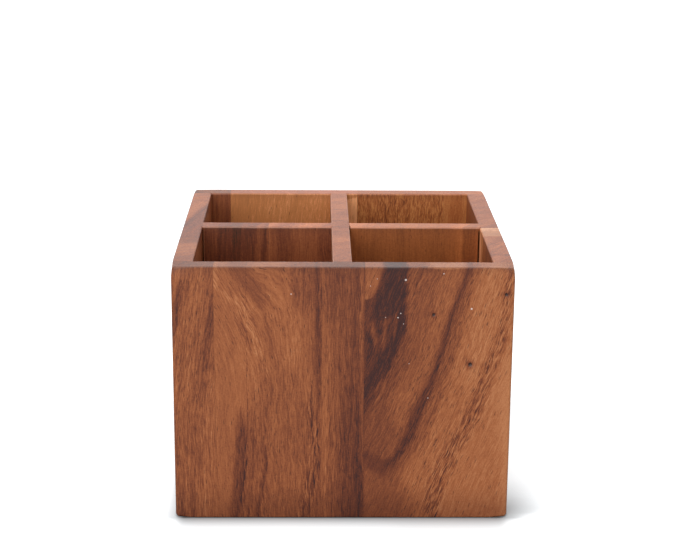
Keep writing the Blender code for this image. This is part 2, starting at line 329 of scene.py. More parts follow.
FRONT_1 = Figure(
    tone=0.57, swing=0.07, streaky=0.14, fibre=0.18, pores=1.1, rim=0.52, rim_tint=(0.82, 0.78, 0.88),
    length=1.2, curl=0.2, wander=3.0,
    lean=((0, -1), (50, -1), (80, 2), (110, 6), (140, 10)),
    streaks=(
        Streak(
            (
                (72, -74, -1), (86, -72.4, 1.2), (98, -70.8, 2.0), (109, -69, 2.2), (121, -67.6, 1.4),
                (134, -67, -1),
            ),
            2.0, 0.28,
        ),
        Streak(((102, -88.5, -1), (112, -87.2, 1.8), (123, -85.6, 1.6), (134, -84, -1)), 1.5, 0.3),
        Streak(((0, -84, 6), (40, -82, 5), (76, -80, -2)), 4.0, 0.5, pores=0.4),
        Streak(((0, -72, 6), (50, -72, 5), (84, -72, -2)), 3.0, pores=0.3),
    ),
)
FRONT_2 = Figure(
    tone=0.6, swing=0.04, streaky=0.07, fibre=0.14, pores=0.9, rim=0.72, curl=0.35, wander=2.0,
    reach=(-56, -18),
    lean=((0, 2), (40, -1), (75, 0), (95, -4), (115, -11), (130, -18), (140, -23)),
    profile=(
        (-67, 0.66), (-57, 0.68), (-48, 0.72), (-40, 0.64), (-31, 0.66), (-22, 0.62), (-16, 0.56),
        (-12.5, 0.44), (-11, 0.46),
    ),
    specks=(Spot(-27.0, 125.4, 0.3),),
    streaks=(
        Streak(((-2, -34, 20), (40, -33, 18), (66, -32, 14), (88, -32, -3)), 6.0, 0.48, strength=0.7),
        Streak(((112, -20, -3), (124, -20, 6), (141, -20, 8)), 5.0, 0.43, pores=1.0, strength=0.9),
        Streak(((38, -57, -3), (56, -57, 8), (84, -58, 8), (98, -60, -3)), 5.0, pores=0.35, fibre=0.55),
        Streak(
            ((88, -62, -3), (104, -60, 6), (118, -64, 4), (126, -68, 2)),
            4.0, 0.62, pores=0.5, fibre=0.7, strength=0.8,
        ),
        Streak(
            (
                (80, -38.5, -1), (90, -41.8, 1.2), (104, -46.5, 2.2), (112, -49.3, 2.6), (120, -54, 2.8),
                (128.5, -66, 2.4),
            ),
            2.4, 0.76, pores=1.2, fibre=1.7,
        ),
        Streak(
            ((88, -46, -1), (100, -50.5, 1.2), (110, -54, 1.6), (118, -58.5, 1.4), (124, -64, 0.6)),
            1.6, 0.52, pores=2.2, fibre=1.3, strength=0.7,
        ),
        Streak(
            (
                (76, -33, -1), (92, -36, 1.2), (103, -38.2, 1.4), (114, -41, 1.4), (124, -45.7, 1.6),
                (133, -51, 1.5), (141, -57, 1),
            ),
            1.8, 0.47, pores=0.6, strength=0.85,
        ),
        Streak(
            ((116, -40, -2), (123, -44, 3.2), (129, -47.5, 5.5), (135, -51.5, 5.5), (141, -55, 5)),
            3.5, 0.42, pores=0.3, fibre=0.4, strength=0.9,
        ),
        Streak(
            (
                (60, -13, -1), (84, -12.8, 0.9), (98, -12.6, 1.3), (112, -12.8, 1.4), (126, -13.2, 1.4),
                (141, -13.6, 1.0),
            ),
            1.4, 0.22,
        ),
        Streak(
            ((-2, -51, 7), (24, -49.5, 7), (44, -48.5, 6), (64, -48, -4)),
            5.0, 0.47, pores=0.6, fibre=1.3, strength=0.8,
        ),
        Streak(
            ((-2, -58.4, 3.0), (15, -55.8, 3.3), (30, -54.7, 3.2), (46, -54, 3.0), (64, -53.5, -3)),
            3.0, 0.27, pores=0.4, fibre=1.2, strength=0.85,
        ),
        Streak(
            ((-2, -56.4, 0.9), (15, -53.6, 1.1), (28, -52.6, 1.1), (42, -52, 0.9), (54, -51.4, -0.8)),
            0.9, 0.22, strength=0.8,
        ),
        Streak(
            ((-2, -50.5, 0.4), (20, -48.4, 0.9), (36, -47.6, 0.8), (52, -47, -0.6)),
            1.0, 0.3, fibre=1.5, strength=0.8,
        ),
        Streak(
            ((-2, -62, -1), (12, -61, 1.0), (40, -60.2, 0.8), (56, -60, -0.6)),
            1.0, 0.6, strength=0.8,
        ),
        Streak(
            ((2, -45, 0.8), (19, -42.7, 1.2), (30, -41.3, 1.3), (42, -40.7, 1.2), (60, -40.5, -0.6)),
            1.6, 0.34, pores=2.6, fibre=1.8, strength=0.9,
        ),
        Streak(
            ((14, -52.9, 0.0), (19, -52.4, 0.35), (25, -51.8, 0.4), (31, -50.9, 0.3), (36, -50.2, 0.0)),
            0.3, 0.0,
        ),
        Streak(
            (
                (-2, -20.5, 3.4), (13, -18, 3.4), (25, -15.8, 3.2), (35, -14.6, 2.8), (48, -15, 2.6),
                (62, -16.5, 1.8), (84, -17, -1),
            ),
            1.6, 0.42, pores=3.4, fibre=2.6,
        ),
        Streak(
            ((-2, -63, 4), (40, -62.5, 3.5), (70, -62, -1)),
            2.5, 0.6, pores=0.4, fibre=0.5, strength=0.7,
        ),
    ),
)
FRONT_3 = Figure(
    tone=0.4, swing=0.04, streaky=0.09, fibre=0.15, pores=0.8, rim=0.54, length=1.4, wander=1.0,
    profile=(
        (-12, 0.55), (-9, 0.56), (-6, 0.5), (-3, 0.45), (0, 0.38), (4, 0.36), (8, 0.34), (10, 0.36),
        (12, 0.3),
    ),
    streaks=(
        Streak(((100, -6, -3), (122, -6, 5), (141, -6, 6)), 4.0, 0.38, strength=0.8),
        Streak(((-2, 5, 6), (40, 5, 5.5), (62, 5, 4), (84, 5, -2)), 3.5, 0.25),
        Streak(((-2, 8.6, 2.2), (30, 8.3, 1.8), (50, 8.1, 1.4), (76, 8, -1)), 1.4, 0.15),
        Streak(
            ((80, 9.6, -0.4), (95, 9.6, 0.8), (125, 9.6, 0.9), (141, 9.6, 0.8)),
            0.8, 0.5, pores=2.0, fibre=1.5,
        ),
        Streak(((-2, -5, 5), (50, -5, 4), (76, -4, -2)), 3.0, pores=0.5, fibre=1.3),
    ),
)
FRONT_4 = Figure(
    # Its rim's bluish cast is partly painted reflection of the white surroundings.
    tone=0.6, swing=0.04, streaky=0.07, fibre=0.165, pores=0.95, rim=0.72, rim_tint=(0.93, 0.95, 1.06),
    wander=1.0,
    lean=(
        (0, -27), (20, -20), (44, -10), (65, -2), (83, 5.5), (96, 10), (110, 14), (122, 17.5), (140, 24),
    ),
    profile=(
        (-13, 0.66), (4, 0.58), (13, 0.46), (22, 0.46), (29, 0.54), (34, 0.6), (39, 0.54), (46, 0.5),
        (52, 0.66), (60, 0.74), (66, 0.74), (71, 0.7), (76, 0.8), (84, 0.84), (110, 0.84),
    ),
    knots=(Spot(47.0, 114.5, 0.8, 0.45), Spot(66.8, 87.2, 1.05, 0.8), Spot(84.5, 125.5, 0.8, 0.45)),
    specks=(
        Spot(32.2, 133.2, 0.5), Spot(51.8, 136.6, 0.3), Spot(66.7, 117.7, 0.45), Spot(29.9, 115.1, 0.27),
        Spot(28.5, 112.8, 0.33), Spot(22.0, 112.9, 0.2), Spot(31.4, 109.4, 0.2), Spot(14.0, 129.9, 0.22),
        Spot(17.5, 133.7, 0.2), Spot(34.7, 87.6, 0.2), Spot(45.0, 68.5, 0.25),
    ),
    streaks=(
        Streak(
            ((-2, 16, 22), (14, 16, 20), (22, 14, 14), (32, 10, -3)),
            9.0, 0.43, pores=0.35, fibre=0.55, strength=0.9,
        ),
        Streak(
            ((26, 10, -3), (34, 14, 8), (44, 16, 12), (56, 16, 12), (68, 14, -3)),
            5.0, 0.34, pores=0.4, fibre=0.6, strength=0.8,
        ),
        Streak(
            ((66, 68, -4), (88, 70, 8), (110, 76, 13), (141, 82, 18)),
            6.0, 0.86, pores=0.8, strength=0.6,
        ),
        Streak(
            ((70, 30, -2), (80, 33, 5), (96, 37, 6), (112, 40, 5), (134, 44, -2)),
            4.0, 0.46, pores=0.4, fibre=0.8, strength=0.7,
        ),
        Streak(
            (
                (54, 4, 4), (62, 7, 6.5), (68, 9, 8.6), (74, 10.5, 10.2), (79, 11, 11.2),
                (85, 12.5, 12.6), (92, 14, 14), (101, 15.5, 15.6), (106, 16.5, 16.4), (117, 17, 16),
                (121.5, 20, 12.5), (124, 24, 8.8), (133, 26, 7.3), (141, 27, 6.2),
            ),
            1.4, 0.17, pores=0.5, fibre=0.8,
        ),
        Streak(
            ((66, 20, -2), (76, 23.5, 2.5), (86, 28, 3.5), (96, 31.5, 2.5), (108, 33, -1)),
            3.5, 0.3, strength=0.8,
        ),
        Streak(
            ((111, 20, -2), (117, 21.5, 6.5), (124, 24.5, 7), (133, 27, 5.2), (141, 27.6, 4.6)),
            2.4, 0.03,
        ),
        Streak(
            (
                (62, 5, 2.5), (74, 13.0, 3.2), (79, 16.4, 3.6), (85, 19.8, 3.8), (92, 23.4, 3.7),
                (101, 27.4, 3.2), (108, 29.8, 2.7), (118, 30.6, 2.0), (130, 30.6, 1.5), (141, 31, 1.0),
            ),
            1.8, 0.03,
        ),
        Streak(
            ((84, 12, -0.8), (90, 13.4, 1.0), (96, 14.8, 1.3), (101, 13.4, 1.1), (106, 12, -0.6)),
            0.8, 0.05,
        ),
        Streak(((98, 17.6, -0.6), (104, 18.6, 0.8), (110, 18, 1.0), (116, 16, -0.6)), 1.0, 0.08),
        Streak(
            ((93, 16.4, -0.8), (98, 17.2, 0.8), (104, 16, 1.3), (111, 15, -0.8)),
            0.9, 0.36, strength=0.9,
        ),
        Streak(
            ((94, 20.2, -0.6), (99, 21.4, 0.8), (108, 21.8, 0.9), (114, 22, -0.6)),
            0.8, 0.34, strength=0.9,
        ),
        Streak(
            ((99, 25.2, -0.5), (104, 26.8, 0.6), (110, 27.4, 0.6), (115, 27.6, -0.5)),
            0.7, 0.3, strength=0.9,
        ),
        Streak(((66, 11, -0.8), (74, 18.5, 0.6), (80, 20.8, -0.6)), 0.9, 0.4, strength=0.6),
        Streak(
            ((57, 11.5, 0.5), (62, 15.5, 0.8), (68, 20.4, 0.8), (74, 24, 0.6), (82, 28, -0.6)),
            1.0, 0.24, strength=0.8,
        ),
        Streak(
            (
                (26, 20, -3), (32, 27, 5), (45, 36, 8), (60, 42, 8.5), (74, 47, 6.5), (91, 52.5, 4.5),
                (114, 58.5, 3.6), (141, 66.5, 3.2),
            ),
            4.0, 0.42, pores=0.7, strength=0.8,
        ),
        Streak(
            (
                (25, 20, -2.5), (31, 24.5, 2.2), (36, 29.3, 3.0), (45, 34.6, 2.8), (57, 38.8, 2.7),
                (66, 41.8, 2.3), (77, 46.6, 1.8), (91, 51.1, 1.5), (102, 53.6, 1.4), (114, 57, 1.3),
                (126, 60.9, 1.2), (141, 65.6, 1.2),
            ),
            2.2, 0.16, pores=0.6,
        ),
        Streak(
            ((20, 22, -5), (27, 21, 5), (32, 18, 9), (35, 14, 7), (41, 10, -5)),
            5.0, 0.2, pores=0.4, fibre=0.4, strength=0.8,
        ),
        # Painted highlight: a pale glint on the rim over this stave.
        Streak(((138.8, 54, -6), (139.4, 54, 8), (141, 54, 8)), 4.0, 0.86),
        Streak(
            (
                (-2, 74, 20), (15, 75.5, 19.2), (33, 79, 17), (45, 82, 13.6), (60, 86, 10), (76, 92, 8),
                (90, 96, 3),
            ),
            1.4, 0.76, pores=0.2, fibre=0.6, strength=0.8,
        ),
        Streak(
            ((-2, 95, 10), (30, 95, 10), (60, 95, 13), (75, 95, 12), (94, 97, 8)),
            5.0, 0.94, pores=0.1, fibre=0.4,
        ),
        Streak(
            (
                (-2, 47.2, 3.6), (14, 49.6, 4.2), (31, 55.2, 4.6), (45, 61.4, 4.6), (60, 68.8, 4.2),
                (74, 73.4, 3.6), (85, 76, 3.4), (91, 78.6, 3.4), (104, 82.6, 2.2), (120, 84.5, 1.8),
                (141, 86, 1.5),
            ),
            2.4, 0.56, pores=3.4, fibre=2.6, strength=0.9,
        ),
    ),
)
LEFT_1 = Figure(
    tone=0.5, streaky=0.08, rim=0.84,
    profile=((-79, 0.5), (-72, 0.48), (-64, 0.6), (-45, 0.64), (-33, 0.6), (-30.5, 0.36), (-28, 0.2)),
    streaks=(
        Streak(((134, -35, -4), (139, -35, 6), (141, -35, 6)), 5.0, 0.38),
        Streak(((137, -28.6, -1), (139.4, -28.6, 0.6), (141, -28.6, 0.6)), 0.8, 0.1),
    ),
)
LEFT_2 = Figure(
    tone=0.4, swing=0.06, streaky=0.12, rim=1.0, slant=4.2,
    lean=((0, 8), (60, 0), (140, -2)),
    profile=((-40, 0.3), (0, 0.28), (5, 0.28), (9, 0.42), (13, 0.6), (30, 0.58), (57, 0.5)),
    streaks=(
        Streak(((-2, 10, 60), (128, 10, 60), (138, 10, -20)), 6.0, 0.62, strength=0.85),
    ),
)
BACK_2 = Figure(
    tone=0.5, swing=0.1, streaky=0.09, fibre=0.15, pores=0.12, ramp="honey", rim=0.6,
    rim_tint=(0.86, 0.68, 0.9), wander=4.0,
    lean=((0, 8), (70, 0), (140, 3)),
    profile=(
        (-67, 0.34), (-60, 0.42), (-50, 0.44), (-36, 0.52), (-20, 0.48), (-9, 0.48), (-4, 0.8),
        (12, 0.92),
    ),
    streaks=(
        # Painted light: these two streaks lighten the strip beside the centre divider, where its shade
        # falls.
        Streak(((-2, 6, 9), (130, 6, 9), (141, 6, 5)), 7.0, 0.92),
        Streak(((108, 8, -5), (124, 8, 6), (141, 8, 6)), 4.0, 1.04, strength=0.8),
        Streak(((-2, -18, 6), (141, -18, 6)), 5.0, 0.44, fibre=0.7, strength=0.6),
        Streak(((135, 2, -8), (139.2, 2, 12), (141, 2, 12)), 3.0, 0.54),
        Streak(
            ((80, -60, 0.5), (110, -58.5, 1.2), (130, -56.5, 1.0), (141, -56, 0.6)),
            1.6, 0.14, strength=0.8,
        ),
        Streak(
            ((90, -34, 0.6), (112, -33, 1.4), (126, -30, 1.8), (141, -24, 2.0)),
            2.0, 0.24, strength=0.6,
        ),
    ),
)
BACK_3 = Figure(
    tone=0.8, swing=0.06, streaky=0.07, fibre=0.28, pores=2.0, pore_size=0.6, ramp="ochre", rim=0.72,
    rim_tint=(1.03, 0.96, 1.25), length=0.7, curl=0.5,
    lean=((0, 6), (60, -2), (110, 0), (140, 0)),
    streaks=(
        Streak(((108, 27.4, -0.6), (118, 28.4, 0.9), (128, 29.1, 1.1), (134, 28.6, -0.6)), 1.0, 0.3),
        Streak(
            (
                (131.0, 35.8, -0.4), (132.4, 34.6, 0.5), (134.4, 34.2, 0.6), (136.4, 35.2, 0.5),
                (137.6, 36.8, -0.3),
            ),
            0.4, 0.25,
        ),
        Streak(
            (
                (131.0, 37.4, -0.4), (132.4, 38.8, 0.5), (134.4, 39.4, 0.6), (136.4, 38.6, 0.5),
                (137.6, 37.4, -0.3),
            ),
            0.4, 0.25,
        ),
        Streak(((133.2, 36.4, -0.4), (134.2, 36.6, 0.6), (135.2, 36.8, -0.4)), 0.5, 0.35),
        Streak(((70, 18, 6), (110, 18, 8), (141, 18, 8)), 5.0, 0.72, pores=2.6),
        Streak(((90, 33, -4), (116, 33, 5), (141, 34, 6)), 5.0, 0.7, strength=0.7),
        # Painted light: lightens the stave's left end beside the centre divider, where the divider's
        # shade falls.
        Streak(((-2, 11, 6), (126, 11, 6), (133, 12, -6)), 3.0, 0.95, strength=0.8),
    ),
)
RIGHT_1 = Figure(
    tone=0.52, swing=0.12, streaky=0.1, rim=1.0, slant=-1.4,
    lean=((0, -9), (50, -3), (100, 4), (140, 6)),
    streaks=(
        Streak(((0, -58, 5), (45, -52, 6), (95, -46, 4), (128, -43, 3), (139, -42, -3)), 3.0, 0.26),
        Streak(((0, -74, 2), (70, -68, 2), (141, -64, 1)), 2.0, 0.34),
    ),
)
RIGHT_3 = Figure(
    tone=0.52, swing=0.1, rim=1.0, slant=-0.8,
    lean=((0, 10), (50, 2), (100, -1), (140, 0)),
    streaks=(
        Streak(((0, 44, 7), (40, 36, 6), (90, 30, 3), (130, 30, -2)), 4.0, 0.3),
        Streak(((20, 66, -2), (70, 62, 3), (120, 60, -2)), 3.0, 0.36),
    ),
)

FIGURES = {
    "front_stave_1": FRONT_1,
    "front_stave_2": FRONT_2,
    "front_stave_3": FRONT_3,
    "front_stave_4": FRONT_4,
    "back_stave_1": Figure(tone=0.45, streaky=0.1, pores=0.5, rim=0.62, ramp="cocoa"),
    "back_stave_2": BACK_2,
    "back_stave_3": BACK_3,
    "back_stave_4": Figure(tone=0.88, pores=0.5, rim=0.7, rim_tint=(1.0, 0.9, 1.2), ramp="ochre"),
    "left_side_stave_1": LEFT_1,
    "left_side_stave_2": LEFT_2,
    "left_side_stave_3": Figure(tone=0.55, rim=1.0),
    "right_side_stave_1": RIGHT_1,
    "right_side_stave_2": Figure(
        tone=0.6, swing=0.14, streaky=0.12, fibre=0.12, pores=0.4, ramp="sapwood", rim=0.84,
        rim_tint=(0.73, 0.85, 1.05), slant=-0.3,
        profile=((-26, 0.35), (-20, 0.45), (-15, 0.5), (-10, 0.62), (-4, 0.66)),
        streaks=(
            Streak(((-2, -9, 6), (132, -9, 6), (138, -9, -4)), 2.0, 0.98),
        ),
    ),
    "right_side_stave_3": RIGHT_3,
    "centre_divider_stave_1": Figure(tone=0.45, slant=1.2, rim=1.0),
    "centre_divider_stave_2": Figure(tone=0.56, slant=0.2, rim=1.0),
    "centre_divider_stave_3": Figure(tone=0.5, streaky=0.1, slant=0.1, rim=1.0),
    "centre_divider_stave_4": Figure(tone=0.64, slant=0.1, rim=1.0),
    "cross_divider_stave_1": Figure(
        tone=0.3, streaky=0.08, fibre=0.1, pores=0.3, ramp="cocoa", rim=1.2, length=2.0, wander=0.6,
        profile=(
            (-78, 0.36), (-74, 0.38), (-70, 0.3), (-67, 0.24), (-60, 0.2), (-54, 0.18), (-50.5, 0.18),
            (-48, 0.38), (-46, 0.4), (-44, 0.3), (-41, 0.32),
        ),
    ),
    "cross_divider_stave_2": Figure(
        tone=0.52, swing=0.05, fibre=0.09, pores=0.25, ramp="cocoa", rim=1.45, rim_tint=(0.95, 1.0, 1.03),
        length=2.0,
        profile=(
            (-41, 0.56), (-38, 0.52), (-36, 0.38), (-31, 0.4), (-27, 0.5), (-18, 0.54), (-13, 0.46),
            (-9, 0.34), (-4, 0.44), (4, 0.56), (12, 0.7),
        ),
    ),
    "cross_divider_stave_3": Figure(
        tone=0.6, swing=0.04, streaky=0.03, fibre=0.06, pores=0.12, ramp="ochre", rim=1.15,
        rim_tint=(0.95, 0.99, 1.32), length=2.0, wander=1.0,
        profile=(
            (10, 0.72), (14, 0.62), (22, 0.57), (40, 0.6), (56, 0.58), (66, 0.7), (68, 0.72), (70, 0.5),
            (73, 0.5), (76, 0.62),
        ),
    ),
    "base_stave_1": Figure(tone=0.5),
    "base_stave_2": Figure(tone=0.58),
    "base_stave_3": Figure(tone=0.46),
}


# Heights of the sanded rim and foot, as functions of the place in plan.


def quarter_round(inward, radius):
    """How far a quarter-round has fallen: radius - sqrt(radius^2 - (radius - inward)^2), or 0 past it."""
    left = np.clip(radius - inward, 0, radius)
    return radius - np.sqrt(radius**2 - left**2)


def quarter_places(radius):
    """Places that part a quarter-round evenly by angle: radius * (1 - cos(angle))."""
    return radius * (1 - np.cos(np.linspace(0, np.pi / 2, ROUND_STEPS + 1)))


def sanding(x, y, shape):
    """1 plus a slow wave along the edges: two sines of the place in plan, scaled by the unevenness."""
    wave = sum(np.sin(x * across + y * forward + start) for across, forward, start in SANDING_WAVES)
    return 1 + shape.unevenness * wave / 2


def to_outline(x, y):
    """Distances in plan to the nearer of the two sides and to the nearer of the front and back."""
    to_side = np.minimum(x - CAD_LOW[ACROSS], CAD_HIGH[ACROSS] - x)
    to_face = np.minimum(y - CAD_LOW[FORWARD], CAD_HIGH[FORWARD] - y)
    return to_side, to_face


def inset(x, y, radius):
    """Distance in from the outline in plan, whose corners are quarter circles of this radius."""
    to_side, to_face = to_outline(x, y)
    corner = np.hypot(np.clip(radius - to_side, 0, None), np.clip(radius - to_face, 0, None))
    return np.where(corner > 0, radius - corner, np.minimum(to_side, to_face))


def overshoot(x, y):
    """Distance out from the nearest mouth, the larger of its parts sideways and forward, or 0 inside."""
    reaches = [
        np.maximum(np.maximum(left - x, x - right), np.maximum(front - y, y - back))
        for left, right, front, back in MOUTHS
    ]
    return np.clip(np.min(reaches, axis=0), 0, None)


def outer_fall(x, y, shape, ease):
    """How far the outer rounding has fallen: a quarter-round in from the outline in plan.

    Its radius is the rounding's own, uneven, plus an ease that dies away from each corner
    as exp(-(distance / reach)^2).
    """
    to_side, to_face = to_outline(x, y)
    near_corner = np.exp(-(to_side**2 + to_face**2) / shape.ease_reach**2)
    radius = shape.rim_round * (sanding(x, y, shape) + ease * near_corner)
    return quarter_round(inset(x, y, shape.corner_round), radius)


def rim_height(x, y, shape):
    """Level of the sanded rim: its height less the fall of the outer or the mouth rounding."""
    mouth = quarter_round(overshoot(x, y), shape.mouth_round * sanding(x, y, shape))
    return RIM - np.maximum(outer_fall(x, y, shape, shape.corner_ease), mouth)


def foot_height(x, y, shape):
    """Level of the sanded foot: the rise of the outer rounding alone."""
    return outer_fall(x, y, shape, shape.foot_ease)


def within(value, low, high):
    """Where a value lies between two others."""
    return (value > low) & (value < high)


def centre_foot(x, y, shape):
    """Foot of the centre divider: on the base panel, or at the lap where it is slotted from below."""
    slotted = within(y, CROSS_FRONT - shape.seam, CROSS_BACK + shape.seam)
    return np.where(slotted, LAP + shape.seam, BASE_TOP + shape.seam)


def cross_rim(x, y, shape):
    """Top of the cross divider: the rim, or the lap where it is slotted from above."""
    slotted = within(x, CENTRE_LEFT - shape.seam, CENTRE_RIGHT + shape.seam)
    return np.where(slotted, LAP - shape.seam, rim_height(x, y, shape))


def cross_foot(x, y, shape):
    """Foot of the cross divider: on the base panel, or under the lip at its two ends."""
    clear = within(x, INNER_LEFT + shape.left_gap, INNER_RIGHT - shape.right_gap)
    return np.where(clear, BASE_TOP + shape.seam, RIM - shape.lip)


def base_rim(x, y, shape):
    """Top of the base panel, the same everywhere."""
    return np.full_like(x + y, BASE_TOP)


def base_foot(x, y, shape):
    """Underside of the base panel, the same everywhere."""
    return np.full_like(x + y, BASE_UNDER)


class Board(NamedTuple):
    """One board: the axis it runs along, its outer and inner face, its ends, its rim and foot.

    jumps are the places along it where its groove stops or its rim or foot jumps. A grooved
    board is a wall, with the base panel's groove inside, and a sanded one stands upright.
    """

    along: int
    outer: float
    inner: float
    ends: tuple
    rim: object
    foot: object
    jumps: tuple = ()
    grooved: bool = False
    sanded: bool = True


def boards(shape):
    """Every board by the name that its staves start with."""
    seam = shape.seam
    across = (INNER_LEFT + seam, INNER_RIGHT - seam)
    forward = (INNER_FRONT + seam, INNER_BACK - seam)
    slot_from_above = (CENTRE_LEFT - seam, CENTRE_RIGHT + seam)
    slot_from_below = (CROSS_FRONT - seam, CROSS_BACK + seam)
    lips = (INNER_LEFT + shape.left_gap, INNER_RIGHT - shape.right_gap)
    low, high = CAD_LOW, CAD_HIGH
    full = (FULL_WIDTH, rim_height, foot_height, GROOVE_STOPS, True)
    between = (forward, rim_height, foot_height, (), True)
    return {
        "front_stave": Board(ACROSS, low[FORWARD], INNER_FRONT, *full),
        "back_stave": Board(ACROSS, high[FORWARD], INNER_BACK, *full),
        "left_side_stave": Board(FORWARD, low[ACROSS], INNER_LEFT, *between),
        "right_side_stave": Board(FORWARD, high[ACROSS], INNER_RIGHT, *between),
        "centre_divider_stave": Board(
            FORWARD, CENTRE_LEFT, CENTRE_RIGHT, forward, rim_height, centre_foot, slot_from_below
        ),
        "cross_divider_stave": Board(
            ACROSS, CROSS_FRONT, CROSS_BACK, across, cross_rim, cross_foot, (*slot_from_above, *lips)
        ),
        "base_stave": Board(
            ACROSS, BASE_FRONT, BASE_BACK, GROOVE_STOPS, base_rim, base_foot, sanded=False
        ),
    }


# Surfaces.


def stave_ends(name, index, count, board, seam):
    """Where one stave starts and ends, with each glue line closed to the seam that shows."""
    start, end = board.ends
    node_start, node_end = node_span(f"{name}_{index}", board.along)
    if index > 1:
        start = (node_span(f"{name}_{index - 1}", board.along)[1] + node_start + seam) / 2
    if index < count:
        end = (node_span(f"{name}_{index + 1}", board.along)[0] + node_end - seam) / 2
    return start, end


def around(place, radius):
    """Places close round a knot, in metres, from a place and a radius in millimetres."""
    return (place + KNOT_PLACES * radius) / MM


def graded(start, end, jumps, clusters):
    """Places from start to end a pitch apart, a pair of them at each jump, with closer ones added."""
    stops = [start, *sorted(jump for jump in jumps if start < jump < end), end]
    runs = []
    for low, high in zip(stops[:-1], stops[1:]):
        first = low if low == start else low + JUMP
        last = high if high == end else high - JUMP
        count = int(np.ceil((high - low) / PITCH)) + 1
        runs.append(np.linspace(first, last, count))
    places = np.concatenate([*runs, *clusters])
    return np.unique(places[(places >= start) & (places <= end)].round(PLACE_DECIMALS))


def places_along(start, end, board, shape, knots):
    """Places of a stave's loops: close together at the roundings, the mitres and the knots."""
    clusters = [np.array([start, end])]
    if board.sanded:
        eased = np.linspace(0, 2 * shape.ease_reach, 2 * ROUND_STEPS)
        for inward in (quarter_places(shape.corner_round), quarter_places(shape.rim_round), eased):
            clusters += [CAD_LOW[board.along] + inward, CAD_HIGH[board.along] - inward]
        mitre = quarter_places(shape.mouth_round)
        for first, last in COLUMNS if board.along == ACROSS else ROWS:
            clusters += [first - mitre, last + mitre]
    clusters += [around(knot.place, knot.radius) for knot in knots]
    return graded(start, end, board.jumps, clusters)


def shares_up(shape, knots):
    """Shares of the way up a face: even steps, with closer ones under the rim and round each knot."""
    low, high = shape.rim_round, RIM - shape.rim_round
    even = np.linspace(0, 1, CLIMB_STEPS + 1)
    worn = 1 - np.linspace(0, 2 * shape.wear_depth, ROUND_STEPS + 1) / (high - low)
    extra = [(around(knot.height, knot.radius) - low) / (high - low) for knot in knots]
    shares = np.concatenate([even, worn, *extra])
    return np.unique(shares[(shares >= 0) & (shares <= 1)].round(SHARE_DECIMALS))


def shares_through(board, shape):
    """Shares of the way from the outer to the inner face, close together at both roundings."""
    if not board.sanded:
        return np.linspace(0, 1, THROUGH_STEPS + 1)
    thickness = abs(board.inner - board.outer)
    widest = 1 + shape.unevenness
    mouth = quarter_places(shape.mouth_round) * widest / thickness
    near = mouth
    if board.grooved:
        radii = [shape.rim_round * (1 + ease) for ease in (0, shape.corner_ease, shape.foot_ease)]
        near = np.concatenate([quarter_places(radius) * widest / thickness for radius in radii])
    middle = np.linspace(near.max(), 1 - mouth.max(), THROUGH_STEPS + 1)
    return np.unique(np.concatenate([near, middle, 1 - mouth]).round(SHARE_DECIMALS))


def outer_face(along, board, shape):
    """Where the outer face lies: on its plane, or on the quarter circle at the caddy's corners."""
    if not board.grooved:
        return np.full_like(along, board.outer)
    to_end = np.minimum(along - CAD_LOW[board.along], CAD_HIGH[board.along] - along)
    inward = quarter_round(to_end, shape.corner_round)
    return board.outer + np.sign(board.inner - board.outer) * inward


def dents(along, height, knots):
    """Depth of the knots' pits: the sum of bells, depth * exp(-(distance / radius)^2)."""
    depth = np.zeros(np.broadcast(along, height).shape)
    for knot in knots:
        distance = np.hypot(along * MM - knot.place, height * MM - knot.height)
        depth += knot.depth / MM * np.exp(-((distance / knot.radius) ** 2))
    return depth


def stave_loops(start, end, board, shape, knots):
    """Loops of points round an upright stave, one at each place along its board.

    A loop climbs the outer face, crosses the rim, goes down the inner face and round its
    groove, and comes back along the foot. The rim and the foot are heights that depend on
    the place in plan alone, so the roundings meet in mitres and stop at the dividers.
    """

    def level(height, through):
        pair = (along, through)
        return height(*(pair if board.along == ACROSS else pair[::-1]), shape)

    along = places_along(start, end, board, shape, knots)[:, None]
    outer = outer_face(along, board, shape)
    inner = np.full_like(along, board.inner)
    inwards = np.sign(board.inner - board.outer)
    across = outer + (inner - outer) * shares_through(board, shape)[None, 1:-1]
    down = np.linspace(1, 0, CLIMB_STEPS + 1)[None, :]

    face_foot = level(board.foot, outer)
    face_climb = (level(board.rim, outer) - face_foot) * shares_up(shape, knots)[None, :]
    face_height = face_foot + face_climb
    face = outer + inwards * dents(along, face_height, knots)
    back_foot, back_rim = level(board.foot, inner), level(board.rim, inner)

    parts = [(face, face_height), (across, level(board.rim, across))]
    if board.grooved:
        top = np.full_like(along, BASE_TOP + shape.seam)
        under = np.full_like(along, BASE_UNDER - shape.seam)
        grooved_here = within(along, *board.jumps) if board.jumps else True
        groove = inner - inwards * GROOVE_DEPTH * grooved_here
        parts += [(inner, top + (back_rim - top) * down), (groove, top), (groove, under)]
        parts += [(inner, under), (inner, back_foot)]
    else:
        parts.append((inner, back_foot + (back_rim - back_foot) * down))
    parts.append((across[:, ::-1], level(board.foot, across[:, ::-1])))

    places, heights = zip(*(np.broadcast_arrays(*part) for part in parts))
    places = np.concatenate(places, axis=1)
    points = np.empty((*places.shape, 3))
    points[..., board.along] = along
    points[..., 1 - board.along] = places
    points[..., UP] = np.concatenate(heights, axis=1)
    return points


def dub_corners(points, shape):
    """Wear the two upper corners of the front, as hands and sandpaper do.

    Each point moves in along both boards and down, by the wear times a bell of its distance
    from the nearest front corner in plan and of its depth below the rim.
    """
    to_side = CAD_HIGH[ACROSS] - np.abs(points[..., ACROSS])
    to_front = points[..., FORWARD] - CAD_LOW[FORWARD]
    nearness = (to_side**2 + to_front**2) / shape.wear_reach**2
    below = ((RIM - points[..., UP]) / shape.wear_depth) ** 2
    push = shape.wear * np.exp(-nearness - below)
    for axis in (ACROSS, FORWARD):
        points[..., axis] -= np.sign(points[..., axis]) * push
    points[..., UP] -= push


